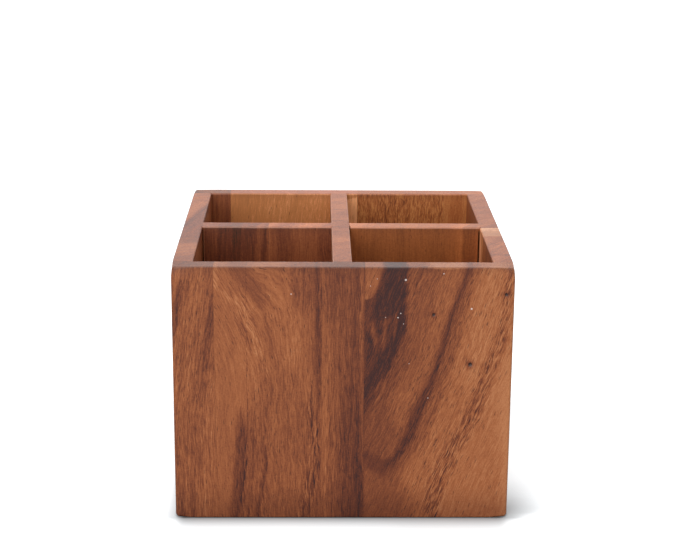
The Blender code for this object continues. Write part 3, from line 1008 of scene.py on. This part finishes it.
def chip_slot(points, shape):
    """Wear the front corner of the slot wall, right of the centre divider, into a chip.

    Each point of that wall moves right by the chip's width times two shares: one grows up
    to the rim from the chip's height below it, and the other shrinks from the front face
    to the middle.
    """
    wall = CENTRE_RIGHT + shape.seam
    on_wall = np.abs(points[..., ACROSS] - wall - JUMP) < JUMP
    rise = np.clip((points[..., UP] - RIM + CHIP_HEIGHT) / CHIP_HEIGHT, 0, 1) ** CHIP_POWER
    middle = (CROSS_FRONT + CROSS_BACK) / 2
    near = np.clip((middle - points[..., FORWARD]) / (middle - CROSS_FRONT), 0, 1)
    points[..., ACROSS] += np.where(on_wall, shape.chip * rise * near, 0)


def ring_quads(rings, count):
    """Quads between each ring of points and the next, as the points' numbers."""
    ring, place = np.meshgrid(np.arange(rings - 1), np.arange(count), indexing="ij")
    here = ring * count + place
    beside = ring * count + (place + 1) % count
    return np.stack([here, beside, beside + count, here + count], axis=-1).reshape(-1, 4).tolist()


def welded_mesh(name, points, faces, closed):
    """Mesh of these faces with the points that meet welded, and a closed one turned outwards."""
    mesh = bpy.data.meshes.new(name)
    mesh.from_pydata(points.reshape(-1, 3).tolist(), [], faces)
    shape = bmesh.new()
    shape.from_mesh(mesh)
    bmesh.ops.remove_doubles(shape, verts=shape.verts, dist=MERGE)
    if closed:
        bmesh.ops.dissolve_degenerate(shape, edges=shape.edges, dist=MERGE)
        bmesh.ops.recalc_face_normals(shape, faces=shape.faces)
    shape.to_mesh(mesh)
    shape.free()
    return mesh


def stave_mesh(name, points):
    """Mesh of quads between each loop and the next, with the first and last loop as end faces."""
    rings, count = points.shape[:2]
    first = np.arange(count)[::-1].tolist()
    last = (np.arange(count) + (rings - 1) * count).tolist()
    mesh = welded_mesh(name, points, [*ring_quads(rings, count), first, last], closed=True)
    mesh.shade_smooth()
    mesh.set_sharp_from_angle(angle=SHARP_ANGLE)
    return mesh


def make_board(context, name):
    """Draw every stave of one board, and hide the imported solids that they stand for."""
    shape = context.scene.caddy_shape
    board = boards(shape)[name]
    count = sum(node.rsplit("_", 1)[0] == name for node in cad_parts)
    for index in range(1, count + 1):
        node = f"{name}_{index}"
        knots = [knot for knot in FIGURES[node].knots if knot.depth]
        start, end = stave_ends(name, index, count, board, shape.seam)
        points = stave_loops(start, end, board, shape, knots)
        if board.grooved:
            dub_corners(points, shape)
        if name == "cross_divider_stave":
            chip_slot(points, shape)
        piece = bpy.data.objects.new(node + "_sanded", stave_mesh(node, points))
        context.scene.collection.objects.link(piece)
        normals = piece.modifiers.new("flat faces, soft edges", "WEIGHTED_NORMAL")
        normals.keep_sharp = True
        piece.data.materials.append(oiled_acacia(node, board, context.scene.caddy_wood))
        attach(piece, "root")
        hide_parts(node)


# Wood.

# Noises: how far their lumps reach across the board, through it and along it, in
# millimetres, and how many octaves of finer ones they hold.
STRAY = (60, 60, 70, 1.0)
CURL = (6, 6, 11, 1.0)
BROAD = (8, 26, 140, 2.0)
NARROW = (1.5, 9, 26, 2.0)
FIBRE = (0.5, 0.8, 5, 2.0)
MOTTLE = (0.9, 0.9, 0.9, 2.0)
CROWD = (7, 16, 36, 1.0)

# What every noise has: how strong its finer octaves are, how much finer each is, and the
# gain that makes it depart from its middle by about 1.
NOISE_ROUGHNESS = 0.55
NOISE_LACUNARITY = 2.0
NOISE_GAIN = 6

# How each stave starts at a place of its own in the noises.
SEED_STEP = 31.7
SEED_SHARES = (1.0, 1.7, 2.3)

# How far the fibres tear the edge of a drawn streak, in millimetres.
RAGGED = 0.3

# The cells that hold one open pore each: across the grain, through it and along it.
WIDE_PORE = (0.8, 0.85, 6.0)
SLIM_PORE = (0.5, 0.55, 3.2)

# A pore's least radius as a share of its cell, its open core as a share of that radius, how
# deep a slim one is beside a wide one, and how much thicker they stand where they crowd.
PORE_RADIUS = 0.16
PORE_CORE = 0.5
SLIM_DEPTH = 0.7
CROWD_GAIN = 2.0

# What the oil leaves in an open pore and in a knot, as shares of red, green and blue.
PORE_TINT = (0.36, 0.34, 0.40)
KNOT_TINT = (0.10, 0.08, 0.08)
HALO_TINT = (0.66, 0.54, 0.50)

# The stained halo round a knot, as a multiple of the knot's radius, the softness of the
# spots' edges as a share of their radius, and how deep a speck of filler shows.
KNOT_HALO = 2.4
HALO_RING = 0.7
KNOT_RING = 0.4
SPECK_RING = 0.5
SPECK_DEPTH = (0.2, 0.6)
SPECK_COLOUR = (0.72, 0.60, 0.55)

# Painted shade: the faces darken towards the floor, up to this height in millimetres. A line
# of painted shade also lies between these two depths below the rim.
FOOT_SHADE_HEIGHT = 22.0
FOOT_SHADE_TINT = (0.70, 0.66, 0.66)
UNDER_RIM_SHADE_DEPTHS = (5.0, 1.0)
UNDER_RIM_SHADE_TINT = (0.82, 0.80, 0.80)

# How far a face looks along the grain, from upright at 0 to level at 1: where end grain
# starts to show and shows in full, and between which tips an edge rolls over.
END_GRAIN = (0.5, 0.95)
TIPPED = (0.08, 0.35)
LEVEL = (0.8, 0.98)

# Painted light on the rim's roundings: painted shade darkens the outer one, from this peak at the
# outer face to nothing midway through the wall, and a painted highlight lightens the dividers' edges.
EDGE_SHADE_PEAK = 2.0
EDGE_SHADE_TINT = (0.68, 0.68, 0.70)
EDGE_HIGHLIGHT_COLOUR = linear("D9A58C")
EDGE_HIGHLIGHT_SHARE = 0.22

# The finest mottle, as a share of the way from dark to light: on the sanded faces, and what
# the end grain of the rims adds to it.
FLECK = 0.06
END_FLECK = 0.05

# The thin, soaked-in oil film mirrors a little less than a lacquer would. Pores and grain
# roughen it, and raise a relief of this strength and depth.
OIL_IOR = 1.4
PORE_ROUGHNESS = 0.2
GRAIN_ROUGHNESS = 0.1
WOOD_RELIEF = (0.35, 0.00015)

# A range with soft ends, and the least spread of values that a drawn curve is scaled by.
SMOOTH = {"interpolation_type": "SMOOTHSTEP"}
LEAST_SPREAD = 0.000001


def emptied(owner):
    """The node tree of a new material or world, with nothing in it yet."""
    owner.use_nodes = True
    owner.node_tree.nodes.clear()
    return owner.node_tree


def add(tree, kind, *values, out=0, **settings):
    """One shader node with its settings, and its sockets in use given these values or links."""
    node = tree.nodes.new("ShaderNode" + kind)
    for name, value in settings.items():
        setattr(node, name, value)
    sockets = [socket for socket in node.inputs if socket.enabled]
    for socket, value in zip(sockets, values):
        if isinstance(value, bpy.types.NodeSocket):
            tree.links.new(value, socket)
        elif value is not None:
            socket.default_value = value
    if isinstance(out, str):
        return node.outputs[out]
    return [socket for socket in node.outputs if socket.enabled][out]


def drawn(tree, place, points):
    """A value drawn as a smooth curve through (place, value) points."""
    places, values = zip(*points)
    low = min(values)
    spread = max(max(values) - low, LEAST_SPREAD)
    share = add(tree, "MapRange", place, places[0], places[-1])
    curve = add(tree, "FloatCurve", 1.0, share)
    line = curve.node.mapping.curves[0]
    for point, found in zip(line.points, (points[0], points[-1])):
        point.location = (float(found is points[-1]), (found[1] - low) / spread)
    for at, value in points[1:-1]:
        line.points.new((at - places[0]) / (places[-1] - places[0]), (value - low) / spread)
    curve.node.mapping.update()
    return add(tree, "Math", curve, spread, low, operation="MULTIPLY_ADD")


def noise(tree, vector, kind, length=1.0):
    """Soft noise about 0.5 of one kind, drawn out along the grain by a length."""
    across, through, along, detail = kind
    inverse = (1 / across, 1 / through, 1 / (along * length))
    scaled = add(tree, "VectorMath", vector, inverse, operation="MULTIPLY")
    return add(tree, "TexNoise", scaled, 1.0, detail, NOISE_ROUGHNESS, NOISE_LACUNARITY, 0.0)


def departure(tree, *noises):
    """Sum of noises, given as (noise, amount) pairs, each departing from 0 by about its amount."""
    total = None
    for value, amount in noises:
        gain = NOISE_GAIN * amount
        part = add(tree, "Math", value, gain, -gain / 2, operation="MULTIPLY_ADD")
        total = part if total is None else add(tree, "Math", total, part, operation="ADD")
    return total


def streak_mask(tree, across, height, streak):
    """A streak's strength inside it, 0 outside, by the distance to its line against its width."""
    line = drawn(tree, height, [(at, place) for at, place, _ in streak.line])
    width = drawn(tree, height, [(at, half) for at, _, half in streak.line])
    aside = add(tree, "Math", across, line, operation="SUBTRACT")
    distance = add(tree, "Math", aside, operation="ABSOLUTE")
    depth = add(tree, "Math", width, distance, operation="SUBTRACT")
    return add(tree, "MapRange", depth, -streak.soft, streak.soft, 0.0, streak.strength, **SMOOTH)


def spot_mask(tree, face, spot, ring):
    """1 inside a small round spot on the face, soft over a share ring of its radius."""
    middle = (spot.place, spot.height, 0.0)
    distance = add(tree, "VectorMath", face, middle, operation="DISTANCE", out="Value")
    inner = spot.radius * (1 - ring)
    outer = spot.radius * (1 + ring)
    return add(tree, "MapRange", distance, inner, outer, 1.0, 0.0, **SMOOTH)


def pores(tree, vector, cell, share):
    """Open pores: stretched cells, of which a share holds one. Each is a spindle of its own width."""
    inverse = tuple(1 / side for side in cell)
    scaled = add(tree, "VectorMath", vector, inverse, operation="MULTIPLY")
    distance = add(tree, "TexVoronoi", scaled, 1.0, out="Distance")
    random = add(tree, "SeparateXYZ", distance.node.outputs["Color"])
    width = random.node.outputs["Y"]
    radius = add(tree, "Math", width, PORE_RADIUS, PORE_RADIUS, operation="MULTIPLY_ADD")
    core = add(tree, "Math", radius, PORE_CORE, operation="MULTIPLY")
    spindle = add(tree, "MapRange", distance, core, radius, 1.0, 0.0, **SMOOTH)
    there = add(tree, "Math", random, share, operation="LESS_THAN")
    return add(tree, "Math", spindle, there, operation="MULTIPLY")


def open_pores(tree, pattern, size, share):
    """Pores in two sizes, thicker where a slow noise is high."""
    crowd = add(tree, "Math", noise(tree, pattern, CROWD), CROWD_GAIN, operation="MULTIPLY")
    share = add(tree, "Math", crowd, share, operation="MULTIPLY")
    wide = pores(tree, pattern, [size * side for side in WIDE_PORE], share)
    slim = pores(tree, pattern, [size * side for side in SLIM_PORE], share)
    slim = add(tree, "Math", slim, SLIM_DEPTH, operation="MULTIPLY")
    return add(tree, "Math", wide, slim, operation="MAXIMUM")


def wood_colour(tree, tone, wood, ramp):
    """A colour for each tone from 0 to 1, evenly from the darkest of a ramp's colours to the lightest."""
    colours = {
        "acacia": (wood.heart, wood.umber, wood.russet, wood.amber, wood.straw),
        "cocoa": (wood.cocoa, wood.umber, wood.russet, wood.amber, wood.straw),
        "ochre": (wood.cocoa, wood.umber, wood.tan, wood.ochre, wood.wheat),
        "honey": (wood.honey_dark, wood.honey, wood.honey_light),
        "sapwood": (wood.sap_dark, wood.sap, wood.sap_light),
    }[ramp]
    colour = add(tree, "ValToRGB", tone)
    stops = colour.node.color_ramp.elements
    for index in range(1, len(colours) - 1):
        stops.new(index / (len(colours) - 1))
    for stop, shade in zip(stops, colours):
        stop.color = (*shade, 1.0)
    return colour


class Place(NamedTuple):
    """Sockets that say where on a board the wood is, in millimetres, and which way its face looks.

    depth is how far the place lies from the outer face, and behind the same without its
    sign. facing is how far the face looks along the grain, and ended how much of end grain
    it shows.
    """

    vector: object
    across: object
    through: object
    grain: object
    depth: object
    behind: object
    facing: object
    ended: object


def place_on(tree, board):
    """The place on a board, by the axes that its staves and their grain run along."""
    grain_axis = UP if board.sanded else FORWARD
    through_axis = 1 - board.along if board.sanded else UP
    places = add(tree, "TexCoord", out="Object")
    vector = add(tree, "VectorMath", places, MM, operation="SCALE")
    axes = add(tree, "SeparateXYZ", vector).node.outputs
    through = axes[through_axis]
    depth = add(tree, "Math", through, board.outer * MM, operation="SUBTRACT")
    behind = add(tree, "Math", depth, operation="ABSOLUTE")
    normal = add(tree, "TexCoord", out="Normal")
    along_grain = tuple(float(axis == grain_axis) for axis in (ACROSS, FORWARD, UP))
    facing = add(tree, "VectorMath", normal, along_grain, operation="DOT_PRODUCT", out="Value")
    ended = add(tree, "MapRange", add(tree, "Math", facing, operation="ABSOLUTE"), *END_GRAIN)
    return Place(vector, axes[board.along], through, axes[grain_axis], depth, behind, facing, ended)


def grain_flow(tree, place, figure, board):
    """The place across the board, less how far the grain leans there, slanted, strayed and curled."""
    lean = drawn(tree, place.grain, figure.lean)
    if figure.reach:
        held = add(tree, "MapRange", place.across, *figure.reach, 1.0, 0.0, **SMOOTH)
        lean = add(tree, "Math", lean, held, operation="MULTIPLY")
    wander = figure.wander
    stray = noise(tree, place.vector, STRAY)
    strayed = add(tree, "Math", stray, wander, -wander / 2, operation="MULTIPLY_ADD")
    slant = -figure.slant * np.sign(board.inner - board.outer)
    slanted = add(tree, "Math", place.depth, slant, place.across, operation="MULTIPLY_ADD")
    leant = add(tree, "Math", slanted, lean, operation="SUBTRACT")
    flow = add(tree, "Math", leant, strayed, operation="ADD")
    curl = departure(tree, (noise(tree, place.vector, CURL), figure.curl))
    return add(tree, "Math", curl, flow, operation="ADD")


def streaked(tree, across, grain, figure, tone):
    """Tone, share of pores and contrast of the fine lines, once the drawn streaks are laid on."""
    laid = {"tone": tone, "pores": figure.pores, "fibre": 1.0}
    for streak in figure.streaks:
        mask = streak_mask(tree, across, grain, streak)
        for name, value in laid.items():
            inside = getattr(streak, name)
            if inside is not None:
                laid[name] = add(tree, "Mix", mask, value, inside, data_type="FLOAT")
    return laid.values()


def edge_shade_and_highlight(tree, place, board):
    """Painted shade or highlight where the rim rolls over: its mask is 0 where the face is level or
    upright.
    """
    tipped = add(tree, "MapRange", place.facing, *TIPPED, **SMOOTH)
    level = add(tree, "MapRange", place.facing, *LEVEL, **SMOOTH)
    rolled = add(tree, "Math", tipped, level, operation="SUBTRACT", use_clamp=True)
    if not board.grooved:
        edge_highlight = add(tree, "Math", rolled, EDGE_HIGHLIGHT_SHARE, operation="MULTIPLY")
        return edge_highlight, EDGE_HIGHLIGHT_COLOUR, "MIX"
    half = abs(board.inner - board.outer) * MM / 2
    outer = add(tree, "MapRange", place.behind, 0.0, half, EDGE_SHADE_PEAK, 0.0)
    edge_shade = add(tree, "Math", rolled, outer, operation="MULTIPLY", use_clamp=True)
    return edge_shade, EDGE_SHADE_TINT, "MULTIPLY"


def coats(tree, place, figure, board, open_pore):
    """What lies over the wood's own colour, as (mask, colour, blend), from the first coat to the last."""
    # End grain drinks more oil, so the rims are deeper; the blue in their casts is partly painted
    # reflection of the white surroundings.
    rim_colour = [figure.rim * share for share in figure.rim_tint]
    over = [(open_pore, PORE_TINT, "MULTIPLY"), (place.ended, rim_colour, "MULTIPLY")]
    if board.sanded:
        rim_line = [RIM * MM - below for below in UNDER_RIM_SHADE_DEPTHS]
        # Painted shade, darker towards the floor.
        foot_shade = add(tree, "MapRange", place.grain, 0.0, FOOT_SHADE_HEIGHT, 1.0, 0.0, **SMOOTH)
        # Painted shade in a line just under the rim.
        below_rim = add(tree, "MapRange", place.grain, *rim_line)
        under_rim_shade = add(tree, "Math", below_rim, place.ended, operation="SUBTRACT", use_clamp=True)
        over += [(foot_shade, FOOT_SHADE_TINT, "MULTIPLY"), (under_rim_shade, UNDER_RIM_SHADE_TINT, "MULTIPLY")]
        # Painted shade on the outer roundings and painted highlight on the dividers' edges.
        over.append(edge_shade_and_highlight(tree, place, board))
    face = add(tree, "CombineXYZ", place.across, place.grain, 0.0)
    for knot in figure.knots:
        halo = knot._replace(radius=KNOT_HALO * knot.radius)
        over.append((spot_mask(tree, face, halo, HALO_RING), HALO_TINT, "MULTIPLY"))
        over.append((spot_mask(tree, face, knot, KNOT_RING), KNOT_TINT, "MULTIPLY"))
    near_face = add(tree, "MapRange", place.behind, *SPECK_DEPTH, 1.0, 0.0)
    for speck in figure.specks:
        filled = spot_mask(tree, face, speck, SPECK_RING)
        filled = add(tree, "Math", filled, near_face, operation="MULTIPLY")
        over.append((filled, SPECK_COLOUR, "MIX"))
    return over


def oiled_acacia(node, board, wood):
    """Acacia, edge-glued, sanded to a fine grit and oiled.

    Oil wets the fibres, so the colour is deep and warm, and leaves a low, soft gloss. The
    pores are open and show as short dark dashes along the grain and as dots on end grain.
    """
    figure = FIGURES[node]
    seed = SEED_STEP * (1 + list(FIGURES).index(node))
    material = bpy.data.materials.new(node + "_oiled_sanded_acacia")
    tree = emptied(material)
    place = place_on(tree, board)
    flow = grain_flow(tree, place, figure, board)
    pattern = add(tree, "CombineXYZ", flow, place.through, place.grain)
    start = tuple(seed * share for share in SEED_SHARES)
    pattern = add(tree, "VectorMath", pattern, start, operation="ADD")
    broad = noise(tree, pattern, BROAD)
    narrow = noise(tree, pattern, NARROW, figure.length)
    fibre = noise(tree, pattern, FIBRE, figure.length)
    mottle = noise(tree, place.vector, MOTTLE)

    # Tone: the even or drawn shade, broad streaks, drawn streaks, fine lines, then mottle.
    shade = drawn(tree, flow, figure.profile) if figure.profile else figure.tone
    tone = add(tree, "Math", departure(tree, (broad, figure.swing)), shade, operation="ADD")
    ragged = departure(tree, (fibre, RAGGED), (narrow, RAGGED))
    ragged = add(tree, "Math", ragged, place.across, operation="ADD")
    tone, share, contrast = streaked(tree, ragged, place.grain, figure, tone)
    lines = departure(tree, (narrow, figure.streaky), (fibre, figure.fibre))
    tone = add(tree, "Math", lines, contrast, tone, operation="MULTIPLY_ADD")
    fleck = add(tree, "Math", place.ended, END_FLECK, FLECK, operation="MULTIPLY_ADD")
    tone = add(tree, "Math", departure(tree, (mottle, 1.0)), fleck, tone, operation="MULTIPLY_ADD")

    colour = wood_colour(tree, tone, wood, figure.ramp)
    open_pore = open_pores(tree, pattern, figure.pore_size, share)
    for mask, tint, blend in coats(tree, place, figure, board, open_pore):
        colour = add(tree, "Mix", mask, colour, (*tint, 1.0), data_type="RGBA", blend_type=blend)

    rough = add(tree, "Math", open_pore, PORE_ROUGHNESS, wood.roughness, operation="MULTIPLY_ADD")
    rough = add(tree, "Math", narrow, GRAIN_ROUGHNESS, rough, operation="MULTIPLY_ADD")
    relief = add(tree, "Math", open_pore, -1.0, fibre, operation="MULTIPLY_ADD")
    bump = add(tree, "Bump", *WOOD_RELIEF, 1.0, relief)
    shader = add(tree, "BsdfPrincipled", colour, 0.0, rough, OIL_IOR)
    tree.links.new(bump, shader.node.inputs["Normal"])
    tree.links.new(shader, tree.nodes.new("ShaderNodeOutputMaterial").inputs["Surface"])
    return material


# Studio.

# The camera's place, its turn, tip and roll in degrees, and its lens and sensor in
# millimetres.
CAMERA_PLACE = (-0.01436, -0.89865, 0.36567)
CAMERA_TURN = (-1.2543, 16.0248, -0.5369)
CAMERA_LENS = 84.02
CAMERA_SENSOR = 36.0
TOP_LAMP_PLACE = (-0.10, 0.21, 2.2)
TOP_LAMP_SIZE = 0.7
FRONT_LAMP_PLACE = (-0.52, -1.93, 0.95)
FRONT_LAMP_SIZE = 1.6
MIRRORED_SKY = 1.6
WHITE = (1, 1, 1, 1)

# How the camera's glow lifts the floor's shadow: how far from each side it takes to reach
# its full strength, and how strong it is right at the left and right sides, which throw
# light back. What changes along a side is drawn as (place, value) points. Far out, between
# the two distances of the fade, the floor turns to pure white.
SHADOW_LIFT = 0.70
LEAST_REACH = 0.003
CORNER_BLEND = (-0.005, 0.002)
BACK_REACH = 0.012
FRONT_REACH = (
    (-0.096, 0.011), (-0.089, 0.0135), (-0.084, 0.018), (-0.070, 0.017), (0.015, 0.017),
    (0.045, 0.020), (0.078, 0.020), (0.086, 0.017), (0.090, 0.012), (0.096, 0.009),
)
LEFT_REACH = 0.0085
LEFT_LIFT = 0.32
RIGHT_REACH = (
    (-0.100, 0.011), (-0.092, 0.012), (-0.086, 0.017), (-0.080, 0.029), (-0.072, 0.033),
    (-0.050, 0.034), (-0.015, 0.034),
)
RIGHT_LIFT = (
    (-0.100, 0.22), (-0.090, 0.20), (-0.080, 0.17), (-0.069, 0.26), (-0.058, 0.41),
    (-0.047, 0.52), (-0.035, 0.63), (-0.015, 0.70),
)
GLOW_FADE = (0.2, 0.6)

# Painted contact shadow: a dark line in the paper's colour where the foot meets the floor, which turns
# the corners in a curve.
CONTACT_ROUND = 0.005
CONTACT_WIDTH = 0.0012
CONTACT_SHARE = 0.45

# The paper's fine speckle: how many lumps to a metre, its octaves and their roughness. Then
# the strength and depth of its relief.
PAPER_SPECKLE = (900.0, 2.0, 0.5)
PAPER_RELIEF = (0.1, 0.0001)

# The radii of the floor's rings, from outside in, and the points round each.
FLOOR_RINGS = (14.0, 4.0, 1.0, 0.3, 0.1, 0.0)
FLOOR_POINTS = 64


def camera_matrix():
    """The camera's axes: turned about the upright, tipped down, then rolled about its own view."""
    turn, tip, roll = np.radians(CAMERA_TURN)
    turned = Matrix.Rotation(turn, 4, "Z")
    tipped = Matrix.Rotation(np.pi / 2 - tip, 4, "X")
    rolled = Matrix.Rotation(-roll, 4, "Z")
    return Matrix.Translation(CAMERA_PLACE) @ turned @ tipped @ rolled


def add_camera(scene):
    """Camera at the photograph's angle, distance and framing."""
    camera = bpy.data.objects.new("camera", bpy.data.cameras.new("camera"))
    camera.data.lens = CAMERA_LENS
    camera.data.sensor_width = CAMERA_SENSOR
    camera.data.sensor_fit = "HORIZONTAL"
    camera.matrix_world = camera_matrix()
    scene.collection.objects.link(camera)
    scene.camera = camera


def add_lamp(scene, name, place, size, power):
    """Square soft lamp that shines at the caddy's middle."""
    lamp = bpy.data.lights.new(name, "AREA")
    lamp.size = size
    lamp.energy = power
    holder = bpy.data.objects.new(name, lamp)
    holder.location = place
    aim = Vector((0, 0, RIM / 2)) - Vector(place)
    holder.rotation_euler = aim.to_track_quat("-Z", "Y").to_euler()
    scene.collection.objects.link(holder)


def add_world(scene, sky):
    """Even white light: pure white to the camera, and brighter still in reflections."""
    world = bpy.data.worlds.new("white studio")
    tree = emptied(world)
    path = add(tree, "LightPath", out="Is Camera Ray")
    mirrored = path.node.outputs["Is Glossy Ray"]
    strength = add(tree, "Mix", mirrored, sky, MIRRORED_SKY, data_type="FLOAT")
    strength = add(tree, "Mix", path, strength, 1.0, data_type="FLOAT")
    light = add(tree, "Background", WHITE, strength)
    tree.links.new(light, tree.nodes.new("ShaderNodeOutputWorld").inputs["Surface"])
    scene.world = world


def shadow_lift(tree, places):
    """How strongly the floor glows: on each side from the foot out to its reach, and in full far out."""
    axes = add(tree, "SeparateXYZ", places).node.outputs
    across, forward = axes[ACROSS], axes[FORWARD]
    low, high = CAD_LOW.tolist(), CAD_HIGH.tolist()
    right_reach, right_lift = (drawn(tree, forward, points) for points in (RIGHT_REACH, RIGHT_LIFT))
    sides = (
        (across, high[ACROSS], right_reach, 0.0, right_lift),
        (low[ACROSS], across, LEFT_REACH, 0.0, LEFT_LIFT),
        (forward, high[FORWARD], BACK_REACH, -1.0, -SHADOW_LIFT),
        (low[FORWARD], forward, drawn(tree, across, FRONT_REACH), -1.0, -SHADOW_LIFT),
    )
    glow = 0.0
    for far, near, reach, begins, lift in sides:
        beyond = add(tree, "Math", far, near, operation="SUBTRACT")
        past_edge = add(tree, "MapRange", beyond, *CORNER_BLEND, 0.0, 1.0, **SMOOTH)
        reach = add(tree, "Math", reach, LEAST_REACH, operation="MAXIMUM")
        share = add(tree, "Math", beyond, reach, operation="DIVIDE")
        lifted = add(tree, "MapRange", share, begins, 1.0, lift, SHADOW_LIFT, **SMOOTH)
        lifted = add(tree, "Math", lifted, 0.0, operation="MAXIMUM")
        glow = add(tree, "Math", lifted, past_edge, glow, operation="MULTIPLY_ADD")
    distance = add(tree, "VectorMath", places, operation="LENGTH", out="Value")
    far_out = add(tree, "MapRange", distance, *GLOW_FADE)
    glow = add(tree, "Math", glow, far_out, operation="MAXIMUM")
    return add(tree, "Math", glow, 1.0, operation="MINIMUM")


def contact_shade(tree, places):
    """Share of the paper's colour that is left: less in the painted contact shadow along the foot."""
    folded = add(tree, "VectorMath", places, operation="ABSOLUTE")
    past = add(tree, "VectorMath", folded, tuple(CAD_HIGH - CONTACT_ROUND), operation="SUBTRACT")
    past = add(tree, "VectorMath", past, (0, 0, 0), operation="MAXIMUM")
    outside = add(tree, "VectorMath", past, operation="LENGTH", out="Value")
    edge = CONTACT_ROUND + CONTACT_WIDTH
    return add(tree, "MapRange", outside, CONTACT_ROUND, edge, CONTACT_SHARE, 1.0)


def matt_paper(colour):
    """White paper sweep, matt: it keeps the shadow and glows a little to the camera alone."""
    material = bpy.data.materials.new("matt_white_paper")
    tree = emptied(material)
    places = add(tree, "TexCoord", out="Object")
    glow = shadow_lift(tree, places)
    path = add(tree, "LightPath", out="Is Camera Ray")
    strength = add(tree, "Math", glow, path, operation="MULTIPLY")
    speckle = add(tree, "TexNoise", places, *PAPER_SPECKLE, NOISE_LACUNARITY, 0.0)
    bump = add(tree, "Bump", *PAPER_RELIEF, 1.0, speckle)
    shade = contact_shade(tree, places)
    shaded = add(tree, "VectorMath", tuple(colour), shade, operation="SCALE")
    paper = add(tree, "BsdfDiffuse", shaded, 0.0, bump)
    shine = add(tree, "Emission", WHITE, strength)
    both = add(tree, "AddShader", paper, shine)
    tree.links.new(both, tree.nodes.new("ShaderNodeOutputMaterial").inputs["Surface"])
    return material


def add_floor(scene, colour):
    """Round floor: rings of radius r at angle a, at (r cos a, r sin a), level with the caddy's foot."""
    radius = np.array(FLOOR_RINGS)[:, None]
    angle = np.linspace(0, 2 * np.pi, FLOOR_POINTS, endpoint=False)[None, :]
    level = np.zeros_like(radius * angle)
    points = np.stack([radius * np.cos(angle), radius * np.sin(angle), level], axis=-1)
    quads = ring_quads(len(FLOOR_RINGS), FLOOR_POINTS)
    mesh = welded_mesh("floor", points, quads, closed=False)
    mesh.materials.append(matt_paper(colour))
    floor = bpy.data.objects.new("floor", mesh)
    scene.collection.objects.link(floor)


# Add-on.


class CADDY_OT_front_board(bpy.types.Operator):
    """Draw the four staves of the front board"""

    bl_idname = "caddy.front_board"
    bl_label = "Front board"

    def execute(self, context):
        make_board(context, "front_stave")
        return {"FINISHED"}


class CADDY_OT_back_board(bpy.types.Operator):
    """Draw the four staves of the back board"""

    bl_idname = "caddy.back_board"
    bl_label = "Back board"

    def execute(self, context):
        make_board(context, "back_stave")
        return {"FINISHED"}


class CADDY_OT_side_boards(bpy.types.Operator):
    """Draw the three staves of each side board"""

    bl_idname = "caddy.side_boards"
    bl_label = "Side boards"

    def execute(self, context):
        make_board(context, "left_side_stave")
        make_board(context, "right_side_stave")
        return {"FINISHED"}


class CADDY_OT_centre_divider(bpy.types.Operator):
    """Draw the four staves of the divider that runs front to back"""

    bl_idname = "caddy.centre_divider"
    bl_label = "Centre divider"

    def execute(self, context):
        make_board(context, "centre_divider_stave")
        return {"FINISHED"}


class CADDY_OT_cross_divider(bpy.types.Operator):
    """Draw the three staves of the divider that is dropped over the centre one"""

    bl_idname = "caddy.cross_divider"
    bl_label = "Cross divider"

    def execute(self, context):
        make_board(context, "cross_divider_stave")
        return {"FINISHED"}


class CADDY_OT_base_panel(bpy.types.Operator):
    """Draw the three staves of the base panel"""

    bl_idname = "caddy.base_panel"
    bl_label = "Base panel"

    def execute(self, context):
        make_board(context, "base_stave")
        return {"FINISHED"}


class CADDY_OT_studio(bpy.types.Operator):
    """Set up the camera, the two lamps, the white surroundings and the floor"""

    bl_idname = "caddy.studio"
    bl_label = "Studio"

    def execute(self, context):
        scene = context.scene
        studio = scene.caddy_studio
        scene.view_settings.view_transform = "Standard"
        add_camera(scene)
        add_world(scene, studio.sky)
        add_lamp(scene, "top lamp", TOP_LAMP_PLACE, TOP_LAMP_SIZE, studio.top_lamp)
        add_lamp(scene, "front lamp", FRONT_LAMP_PLACE, FRONT_LAMP_SIZE, studio.front_lamp)
        add_floor(scene, studio.floor)
        return {"FINISHED"}


OPERATORS = (
    CADDY_OT_front_board,
    CADDY_OT_back_board,
    CADDY_OT_side_boards,
    CADDY_OT_centre_divider,
    CADDY_OT_cross_divider,
    CADDY_OT_base_panel,
    CADDY_OT_studio,
)


class CADDY_PT_sidebar(bpy.types.Panel):
    """Buttons and settings for the caddy"""

    bl_label = "Cutlery caddy"
    bl_idname = "CADDY_PT_sidebar"
    bl_space_type = "VIEW_3D"
    bl_region_type = "UI"
    bl_category = "Caddy"

    def draw(self, context):
        for operator in OPERATORS:
            self.layout.operator(operator.bl_idname)
        for group in (context.scene.caddy_shape, context.scene.caddy_wood, context.scene.caddy_studio):
            for name in group.__annotations__:
                self.layout.prop(group, name)


GROUPS = (CaddyShape, CaddyWood, CaddyStudio)
CLASSES = (*GROUPS, *OPERATORS, CADDY_PT_sidebar)


def register():
    for kind in CLASSES:
        bpy.utils.register_class(kind)
    bpy.types.Scene.caddy_shape = bpy.props.PointerProperty(type=CaddyShape)
    bpy.types.Scene.caddy_wood = bpy.props.PointerProperty(type=CaddyWood)
    bpy.types.Scene.caddy_studio = bpy.props.PointerProperty(type=CaddyStudio)


def unregister():
    del bpy.types.Scene.caddy_studio
    del bpy.types.Scene.caddy_wood
    del bpy.types.Scene.caddy_shape
    for kind in reversed(CLASSES):
        bpy.utils.unregister_class(kind)


def main():
    register()
    for operator in (
        bpy.ops.caddy.front_board,
        bpy.ops.caddy.back_board,
        bpy.ops.caddy.side_boards,
        bpy.ops.caddy.centre_divider,
        bpy.ops.caddy.cross_divider,
        bpy.ops.caddy.base_panel,
        bpy.ops.caddy.studio,
    ):
        operator()


if __name__ == "__main__":
    main()
